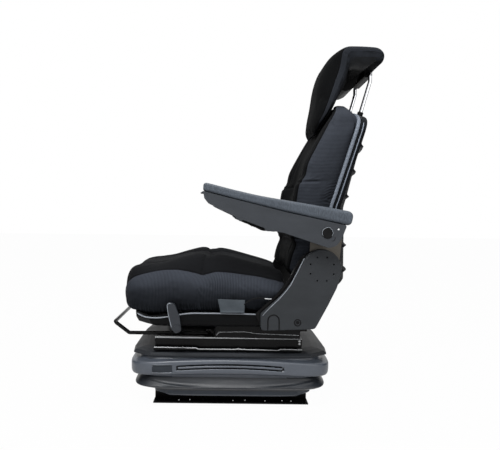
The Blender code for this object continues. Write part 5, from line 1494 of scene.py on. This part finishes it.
@dataclass
class ArmrestPad:
    """One armrest's skinned foam pad, carried along its sloping top line."""

    side: int
    body: str
    node: str
    name: str
    middle_y: float = 0.29
    half_width: float = 0.032
    top: Table = (
        (-0.1348, 0.644), (-0.134, 0.649), (-0.13, 0.6525), (-0.121, 0.652), (-0.09, 0.6444), (-0.052, 0.635),
        (0.013, 0.6208), (0.067, 0.6116), (0.13, 0.6016), (0.2, 0.5905), (0.25, 0.5822), (0.262, 0.5796),
        (0.2685, 0.5745), (0.2705, 0.568),
    )
    base: Table = (
        (-0.1352, 0.635), (-0.1344, 0.6324), (-0.13, 0.6301), (-0.12, 0.6275), (-0.09, 0.6199), (-0.052, 0.6103),
        (0.013, 0.595), (0.067, 0.5817), (0.13, 0.5679), (0.2, 0.5532), (0.245, 0.5438), (0.258, 0.5415),
        (0.2645, 0.5445), (0.267, 0.55),
    )

    def build(self, wardrobe: Wardrobe) -> bpy.types.Object:
        """Make the pad: rounded sections |y/a|^5 + |h/b|^5 = 1 between its top line and its base line.

        Args:
            wardrobe: The finishes.

        Returns:
            The piece.
        """
        count = len(self.top)
        steps = np.linspace(0, count - 1, 150)
        top, base = catmull(np.array(self.top), steps), catmull(np.array(self.base), steps)
        ends = np.interp(steps, [0, 1, 2.2, count - 3.0, count - 2.0, count - 1], [0.8, 0.93, 1.0, 1.0, 0.95, 0.84])
        across, up = rounded(72, 5)
        middle, half = (top + base) / 2, (top - base) / 2
        x = middle[:, :1] + half[:, :1] * up[None]
        z = middle[:, 1:] + half[:, 1:] * up[None]
        y = self.side * self.middle_y + self.half_width * ends[:, None] * across[None]
        piece = grid_object(self.name, np.stack([x, y, z], axis=2), True, True)
        turn_outwards(piece)
        wardrobe.dress(piece, "armrest skin")
        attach(piece, self.body)
        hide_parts(self.node)
        return piece


FOLD = np.array([(0, 0), (0, 0.72), (0, 0.94), (0.0005, 1), (0.0013, 1), (0.0016, 0.94), (0.0016, 0.72), (0.0016, 0)])


@dataclass
class Trim:
    """Small pieces: tag, strap, wire, pale lines and a glint painted as highlights, dark lines and rings painted as
    shade in grooves, notches and recesses, mouldings, hub rings and rivets.
    """

    wardrobe: Wardrobe
    made: list[bpy.types.Object] = field(default_factory=list)

    def add(self, name: str, looks: str, grid: np.ndarray) -> None:
        """Make, dress and list a small closed piece.

        Args:
            name: The piece's name.
            looks: The body that it rides on, a material slot's name and its finish, parted by commas; the piece rides
                on the body and takes the finish.
            grid: Its points.
        """
        body, slot, finish = looks.split(", ")
        piece = grid_object(name, grid, True, True)
        turn_outwards(piece)
        self.wardrobe.dress(piece, finish)
        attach(piece, body)
        self.made.append(piece)

    def tube(self, name: str, looks: str, path: list, radius: float, sharp: bool = False) -> None:
        """A round piece along a path, with rounded ends.

        Args:
            name: The piece's name.
            looks: Its body, slot and finish.
            path: Control points.
            radius: Its radius.
            sharp: Whether the path's corners stay corners.
        """
        control = np.array(path, dtype=float)
        if sharp:
            points = evenly(control, 0.004)
        else:
            points = evenly(catmull(control, np.linspace(0, len(control) - 1, 40 * len(control))), 0.003)
        nose = np.clip((from_ends(len(points)) + 1) / 3.0, 0, 1)
        self.add(name, looks, tube_points(points, radius * np.sqrt(np.clip(1 - (1 - nose) ** 2, 0.2, 1)), 10))

    def turned(self, name: str, looks: str, centre: tuple[float, float], profile: list, side: int) -> None:
        """A round piece on an axis along Y: the profile's (radius, y) points swept through a full turn.

        Args:
            name: The piece's name.
            looks: Its body, slot and finish.
            centre: X and Z of the axis.
            profile: Radius and distance from the middle plane, from the inner middle to the outer middle.
            side: -1 for the left and 1 for the right.
        """
        line = np.array(profile)
        across, up = rounded(48, 2)
        x, z = centre[0] + line[:, :1] * across[None], centre[1] + line[:, :1] * up[None]
        self.add(name, looks, np.stack([x, np.broadcast_to(side * line[:, 1:], x.shape), z], axis=2))

    def arc(self, name: str, looks: str, place: tuple[float, ...], turns: tuple[int, int, int], side: int) -> None:
        """A fine tube along an arc in a side view: x = a + r cos t, z = b + r sin t.

        Args:
            name: The piece's name.
            looks: Its body, slot and finish.
            place: X, distance from the middle plane and Z of the arc's centre, and its radius.
            turns: First and last angle in degrees, and the number of points.
            side: -1 for the left and 1 for the right.
        """
        x, y, z, radius = place
        points = [(x + radius * math.cos(t), side * y,
                   z + radius * math.sin(t)) for t in np.radians(np.linspace(*turns))]
        self.tube(name, looks, points, 0.0008)

    def strip(self, name: str, looks: str, line: list, low: float, y: float, side: int) -> None:
        """An upright strip of sheet steel: from a level foot up to a stepped top line, where it folds back by 1.6 mm.

        Args:
            name: The piece's name.
            looks: Its body, slot and finish.
            line: X and Z of the top line.
            low: Height of the foot.
            y: Distance of its outer face from the middle plane.
            side: -1 for the left and 1 for the right.
        """
        known = np.array(line)
        x = np.linspace(known[0, 0], known[-1, 0], 160)
        top = np.interp(x, known[:, 0], known[:, 1])
        grid = np.zeros((len(x), len(FOLD), 3))
        grid[..., 0] = x[:, None]
        grid[..., 1] = side * (y - FOLD[None, :, 0])
        grid[..., 2] = low + (top[:, None] - low) * FOLD[None, :, 1]
        self.add(name, looks, grid)

    def label(self) -> None:
        """The blank cloth tag: a trapezoid with a turned lower hem and a bright left hem.

        It stands out by 2.6 mm exp(-(v / 0.1)^2) + 2.4 mm exp(-(u / 0.06)^2) + 0.9 mm sin(7 u + 4 v).
        """
        u, v = np.meshgrid(np.linspace(0, 1, 40), np.linspace(0, 1, 24), indexing="ij")
        left = np.array([[-0.085, 0.2895], [-0.0935, 0.3275]])
        right = np.array([[-0.018, 0.289], [-0.016, 0.3255]])
        low = left[0] + (right[0] - left[0]) * u[..., None]
        high = left[1] + (right[1] - left[1]) * u[..., None]
        flat = low + (high - low) * v[..., None]
        curl = 0.0026 * bell(v, 0.1) + 0.0024 * bell(u, 0.06) + 0.0009 * np.sin(7 * u + 4 * v)
        piece = grid_object("tag_blank", np.stack([flat[..., 0], -0.2472 - curl, flat[..., 1]], axis=2))
        turn_outwards(piece, (0, -1, 0))
        walled(piece, 0.0007)
        self.wardrobe.dress(piece, "tag cloth")
        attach(piece, "seat")
        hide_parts("cushion_tag")
        self.made.append(piece)

    def seat_side(self) -> None:
        """Strap and wire on the seat's left, a pale tube painted as the highlight along the pan's lip on each side,
        and one along the tilt lever's rim.
        """
        strap = [(-0.019, -0.2468, 0.312), (-0.005, -0.2476, 0.323), (0.012, -0.2484, 0.3305), (0.03, -0.2486, 0.332),
                 (0.042, -0.2482, 0.329)]
        self.tube("tie_strap", "seat, fabric, webbing", strap, 0.0018)
        wire = [(0.0345, -0.2485, 0.3305), (0.048, -0.2488, 0.3298), (0.062, -0.2486, 0.3288),
                (0.076, -0.248, 0.3272)]
        self.tube("tie_wire", "seat, zinc_steel, pale paint", wire, 0.0012)
        lip = [(-0.325, 0.224, 0.28), (-0.3065, 0.233, 0.2735), (-0.29, 0.237, 0.271), (-0.269, 0.2388, 0.2705),
               (-0.248, 0.2392, 0.2725), (-0.22, 0.2395, 0.277), (-0.18, 0.2398, 0.2838), (-0.136, 0.24, 0.2852),
               (-0.04, 0.24, 0.2848), (0.0245, 0.2398, 0.2836)]
        # Pale tubes painted as the highlight along the pan's lip.
        for label, side in SIDES:
            points = [(x, side * y, z) for x, y, z in lip]
            self.tube(f"pan_lip_painted_highlight_{label}", "seat, black_steel, edge highlight", points, 0.002)
        # A pale tube painted as the highlight along the lever's rim.
        lever = [(-0.2222, -0.2583, 0.248), (-0.229, -0.2584, 0.272), (-0.2342, -0.2584, 0.3),
                 (-0.2346, -0.2583, 0.311), (-0.23, -0.2582, 0.3158), (-0.224, -0.2582, 0.314)]
        self.tube("lever_rim_painted_highlight", "tilt_lever, shell_plastic, edge highlight", lever, 0.0012)

    def recliner(self, label: str, side: int) -> None:
        """A recliner cover's front edge with a pale tube painted as its highlight, a dark tube painted as the shade
        in its knock-out groove, and a dark ring painted as the shade in the recess round its screw.

        Args:
            label: left or right.
            side: -1 or 1.
        """
        # A pale tube painted as the highlight along the recliner cover's front edge.
        edge = [(0.0292, 0.285), (0.04, 0.298), (0.056, 0.314), (0.0745, 0.332), (0.093, 0.353), (0.107, 0.372),
                (0.118, 0.393), (0.127, 0.411), (0.136, 0.43), (0.145, 0.448)]
        points = [(x + 0.0022, side * 0.2702, z) for x, z in edge]
        self.tube(f"recliner_edge_painted_highlight_{label}", "seat, shell_plastic, edge highlight", points, 0.0014)
        # A dark tube painted as the shade in the knock-out groove.
        turn = np.linspace(math.pi, 0, 13)
        over = [(0.063 + 0.0157 * math.cos(a), 0.2734 + 0.0157 * math.sin(a)) for a in turn]
        arch = [(0.0473, 0.246), *over, (0.0787, 0.246)]
        points = [(x, side * 0.2714, z) for x, z in arch]
        self.tube(f"knock_out_painted_shade_{label}", "seat, shell_plastic, bellows groove", points, 0.0016, sharp=True)
        # A dark ring painted as the shade in the recess round the screw.
        ring = [(0.0066, 0.27), (0.01, 0.2704), (0.0104, 0.2714), (0.0092, 0.2719), (0.0072, 0.2716), (0.006, 0.2706)]
        self.turned(f"screw_recess_painted_shade_{label}", "seat, shell_plastic, webbing", (0.13, 0.268), ring, side)

    def slides(self, label: str, side: int) -> None:
        """The slides' folded steel edges, with pale strips and a line painted as their highlights, and the end bolts.

        Args:
            label: left or right.
            side: -1 or 1.
        """
        lower = [(-0.279, 0.179), (-0.157, 0.178), (-0.148, 0.1745), (-0.039, 0.1752), (-0.033, 0.177),
                 (-0.027, 0.1752), (0.083, 0.1732), (0.09, 0.1766), (0.155, 0.1756)]
        # Pale strips painted as the highlights along the slides' folded edges, over black webs.
        fold, web = ([(x, z - drop) for x, z in lower] for drop in (0.0002, 0.0022))
        self.strip(f"lower_fold_painted_highlight_{label}", "platform, black_steel, worn edge", fold, 0.1716, 0.2046, side)
        self.strip(f"lower_web_{label}", "platform, black_steel, black lacquer", web, 0.1686, 0.2052, side)
        upper = [(-0.278, 0.206), (0.155, 0.2022)]
        self.strip(f"upper_fold_painted_highlight_{label}", "seat, black_steel, worn edge", upper, 0.201, 0.1894, side)
        # A pale line painted as the highlight along the riser.
        riser = [(-0.098, 0.21), (-0.09, 0.22), (-0.013, 0.2222), (0.018, 0.217), (0.12, 0.214), (0.146, 0.213)]
        points = [(x, side * 0.1892, z) for x, z in riser]
        self.tube(f"riser_painted_highlight_{label}", "seat, black_steel, worn edge", points, 0.0009, sharp=True)
        speck = [(0.0019, 0.1645), (0.0018, 0.1656), (0.0008, 0.166), (0.0002, 0.1661)]
        for number, place in enumerate((-0.208, -0.175, -0.046, -0.01, 0.05, 0.101, 0.128)):
            centre = (place, 0.01 + 0.0012 * (number % 2))
            self.turned(f"rail_rivet_{label}_{number}", "base, zinc_steel, plated steel", centre, speck, side)
        dome = [(0.0044, 0.188), (0.0044, 0.1905), (0.0036, 0.1922), (0.0018, 0.193), (0.0002, 0.1932)]
        for number, height in enumerate((0.196, 0.188)):
            name = f"slide_rivet_{label}_{number}"
            self.turned(name, "seat, zinc_steel, plated steel", (0.1475, height), dome, side)

    def armrest(self, label: str, side: int) -> None:
        """An armrest hub's ring with a painted glint, the thumbwheel's black fairing and the small marks of the
        housing.

        Args:
            label: left or right.
            side: -1 or 1.
        """
        body = f"armrest_{label}"
        ring = [(0.0138, 0.3182), (0.0154, 0.3184), (0.0158, 0.3194), (0.015, 0.3202), (0.0139, 0.32)]
        self.turned(f"hub_ring_{label}", f"{body}, shell_plastic, webbing", (0.201, 0.521), ring, side)
        # A pale arc painted as the glint on the hub's ring.
        self.arc(f"hub_glint_{label}", f"{body}, zinc_steel, edge highlight", (0.201, 0.3204, 0.521, 0.0146),
                 (-35, 215, 20), side)
        plug = [(0.0026, 0.3176), (0.0026, 0.3184), (0.0018, 0.3187), (0.0002, 0.3188)]
        self.turned(f"housing_plug_{label}", f"{body}, shell_plastic, pale paint", (0.231, 0.5306), plug, side)
        self.arc(f"housing_mark_{label}", f"{body}, shell_plastic, webbing", (0.214, 0.3182, 0.507, 0.008),
                 (-100, 20, 12), side)
        fairing = [(-0.047, 0.565), (-0.036, 0.558), (-0.027, 0.5525), (0.0, 0.5425), (0.026, 0.53),
                   (0.04, 0.5285), (0.064, 0.5262)]
        points = [(x, side * 0.29, z) for x, z in fairing]
        self.tube(f"wheel_fairing_{label}", f"{body}, shell_plastic, webbing", points, 0.0052)

    def headrest(self) -> None:
        """Dark rings painted as the shade in the right rod's notches."""
        for number, height in enumerate((0.915, 0.933, 0.951)):
            centre = np.array([0.343 + 0.29 * (height - 0.881), 0.092, height])
            turn = np.linspace(0, math.pi * 1.1, 9)[:, None] - 0.3
            across, inward = np.array([0.9604, 0.0, -0.2785]), np.array([0.0, -1.0, 0.0])
            ring = centre + 0.0058 * (np.cos(turn) * across + np.sin(turn) * inward)
            # A dark ring painted as the shade in a notch.
            self.tube(f"rod_notch_painted_shade_{number}", "headrest_rods, chrome, webbing", ring.tolist(), 0.0008)

    def build(self) -> None:
        """Make all the small pieces."""
        self.label()
        self.seat_side()
        for label, side in SIDES:
            self.recliner(label, side)
            self.slides(label, side)
            self.armrest(label, side)
        self.headrest()


@dataclass
class Studio:
    """Camera, lamps, floor, side cards and backdrop."""

    camera_at: tuple[float, float, float] = (-0.07, -1.65, 0.566)
    lens: float = 35.64
    roll: float = 0.65
    shift: tuple[float, float] = (0.046, -0.02)
    surround: float = 0.24
    glow: float = 0.98

    def camera(self) -> None:
        """The camera at the photograph's place, level and looking along +Y, with its small roll."""
        data = bpy.data.cameras.new("camera")
        data.lens, data.sensor_width = self.lens, 36.0
        data.shift_x, data.shift_y = self.shift
        data.clip_start, data.clip_end = 0.05, 40.0
        made = shown("camera", data)
        level = Matrix.Rotation(math.pi / 2, 4, "X")
        roll = Matrix.Rotation(math.radians(self.roll), 4, "Z")
        made.matrix_world = Matrix.Translation(self.camera_at) @ level @ roll
        bpy.context.scene.camera = made

    def lamp(self, name: str, place: tuple[float, float, float], aim: tuple[float, float, float], size: float,
             power: float) -> None:
        """A square soft lamp.

        Args:
            name: Its name.
            place: Where it hangs.
            aim: The point that it faces.
            size: Its side.
            power: Watts.
        """
        data = bpy.data.lights.new(name, "AREA")
        data.shape, data.size, data.energy = "SQUARE", size, power
        made = shown(name, data)
        direction = Vector(aim) - Vector(place)
        made.matrix_world = Matrix.Translation(place) @ direction.to_track_quat("-Z", "Y").to_matrix().to_4x4()

    def seen(self, tree: Tree) -> bpy.types.NodeSocket:
        """1 for camera, glossy and transmission rays, 0 for the others.

        Args:
            tree: The tree that the nodes are added to.

        Returns:
            The value.
        """
        ray = tree.node("ShaderNodeLightPath")
        pair = tree.math("MAXIMUM", ray.outputs["Is Camera Ray"], ray.outputs["Is Transmission Ray"])
        return tree.math("MAXIMUM", pair, ray.outputs["Is Glossy Ray"])

    def world(self) -> None:
        """White to the camera and in reflections, and a plain level on everything else."""
        scene = bpy.context.scene
        made = bpy.data.worlds.new("studio")
        scene.world = made
        made.use_nodes = True
        made.node_tree.nodes.clear()
        tree = Tree(made.node_tree)
        strength = tree.math("MULTIPLY_ADD", self.seen(tree), 1.0 - self.surround, self.surround)
        back = tree.filled("ShaderNodeBackground", {"Color": WHITE, "Strength": strength}).outputs[0]
        tree.filled("ShaderNodeOutputWorld", {"Surface": back})

    def floor(self) -> None:
        """A pale floor that keeps the object's shadow and goes white towards the camera."""
        x, y = np.meshgrid(np.linspace(-12, 12, 25), np.linspace(-12, 12, 25), indexing="ij")
        grid = np.stack([x, y, np.full_like(x, -0.0006)], axis=2)
        piece = grid_object("floor", grid)
        turn_outwards(piece, (0, 0, 1))
        material = bpy.data.materials.new("pale floor")
        material.use_nodes = True
        material.node_tree.nodes.clear()
        tree = Tree(material.node_tree)
        share = tree.math("MULTIPLY", self.seen(tree), self.glow)
        paint = tree.filled("ShaderNodeBsdfDiffuse", {"Color": (0.55, 0.55, 0.55, 1)}).outputs[0]
        glow = tree.filled("ShaderNodeEmission", {"Color": WHITE, "Strength": 1.0}).outputs[0]
        mix = tree.filled("ShaderNodeMixShader", {0: share, 1: paint, 2: glow}).outputs[0]
        tree.filled("ShaderNodeOutputMaterial", {"Surface": mix})
        piece.data.materials.append(material)

    def card(self, name: str, near: tuple[float, float], far: tuple[float, float], high: float) -> None:
        """An upright dark card beside the camera's view, seen only in reflections and as shade.

        Args:
            name: Its name.
            near: X and Y of its end beside the camera.
            far: X and Y of its other end.
            high: Its height.
        """
        share, z = np.meshgrid(np.linspace(0, 1, 5), np.linspace(0.0, high, 4), indexing="ij")
        x, y = (first + (last - first) * share for first, last in zip(near, far))
        piece = grid_object(name, np.stack([x, y, z], axis=2))
        material = bpy.data.materials.new(name)
        material.use_nodes = True
        shader = material.node_tree.nodes["Principled BSDF"]
        for label, value in {"Base Color": (0.012, 0.012, 0.013, 1), "Roughness": 0.9,
                             "Specular IOR Level": 0.0}.items():
            shader.inputs[label].default_value = value
        piece.data.materials.append(material)
        piece.visible_camera = False

    def build(self) -> None:
        """Set up the whole studio."""
        bpy.context.scene.view_settings.view_transform = "Standard"
        self.camera()
        self.world()
        self.floor()
        self.card("card_left", (-1.3, -0.75), (-2.6, 2.4), 2.2)
        self.card("card_right", (1.35, -0.75), (2.75, 2.4), 2.2)
        self.lamp("key", (-0.6, -1.9, 2.6), (0.0, 0.0, 0.4), 1.3, 84.0)
        self.lamp("fill", (1.5, -2.1, 1.1), (0.05, 0.0, 0.5), 1.4, 9.0)
        self.lamp("top", (0.1, 0.2, 2.8), (0.0, 0.0, 0.4), 1.6, 30.0)


NODE_FINISHES = {
    "dipped steel": "outer_arm_frame inner_arm_frame platform_plate backrest_frame recliner_shaft",
    "black lacquer": (
        "mounting_rail_* lower_track_* upper_track_* lower_slide_* upper_slide_* seat_riser_* slide_bar "
        "recliner_plate_* armrest_bolt_*"
    ),
    "bare steel": "backrest_plate_*",
    "plated steel": "lower_pivot_shaft upper_pivot_shaft slide_bolt_*",
    "bright chrome": "headrest_rods cover_screw_*",
    "cover moulding": "top_cover",
    # The tray's finish is partly painted light.
    "tray grey with painted light": "base_tray",
    "dark moulding": (
        "seat_pan headrest_sleeve_* headrest_clamp headrest_moulding adjusting_wheel_* upper_roller_* lower_roller_*"
    ),
    "recliner moulding": "recliner_cover_*",
    "satin moulding": "armrest_housing_*",
    "lever plastic": "tilt_lever lever_bolt",
    "bellows rubber": "air_spring",
}


def main() -> None:
    """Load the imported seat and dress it."""
    logging.basicConfig(level=logging.INFO, format="%(name)s: %(message)s")
    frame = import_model()
    wardrobe = Wardrobe()
    Studio().build()
    for finish, names in NODE_FINISHES.items():
        for name in names.split():
            for label, _ in SIDES if "*" in name else SIDES[:1]:
                wardrobe.dress(frame["nodes"][name.replace("*", label)], finish)
    pieces = [part.build(wardrobe) for part in (SeatCushion(), BackCushion(), Headrest(), Bellows())]
    pieces += Backshell().build(wardrobe)
    for label, side in SIDES:
        pieces.append(ArmrestPad(side, f"armrest_{label}", f"armrest_pad_{label}",
                                 f"pad_armrest_{label}").build(wardrobe))
    trim = Trim(wardrobe)
    trim.build()
    for piece in pieces + trim.made:
        LOG.info("%s: %d faces", piece.name, len(piece.data.polygons))


if __name__ == "__main__":
    main()
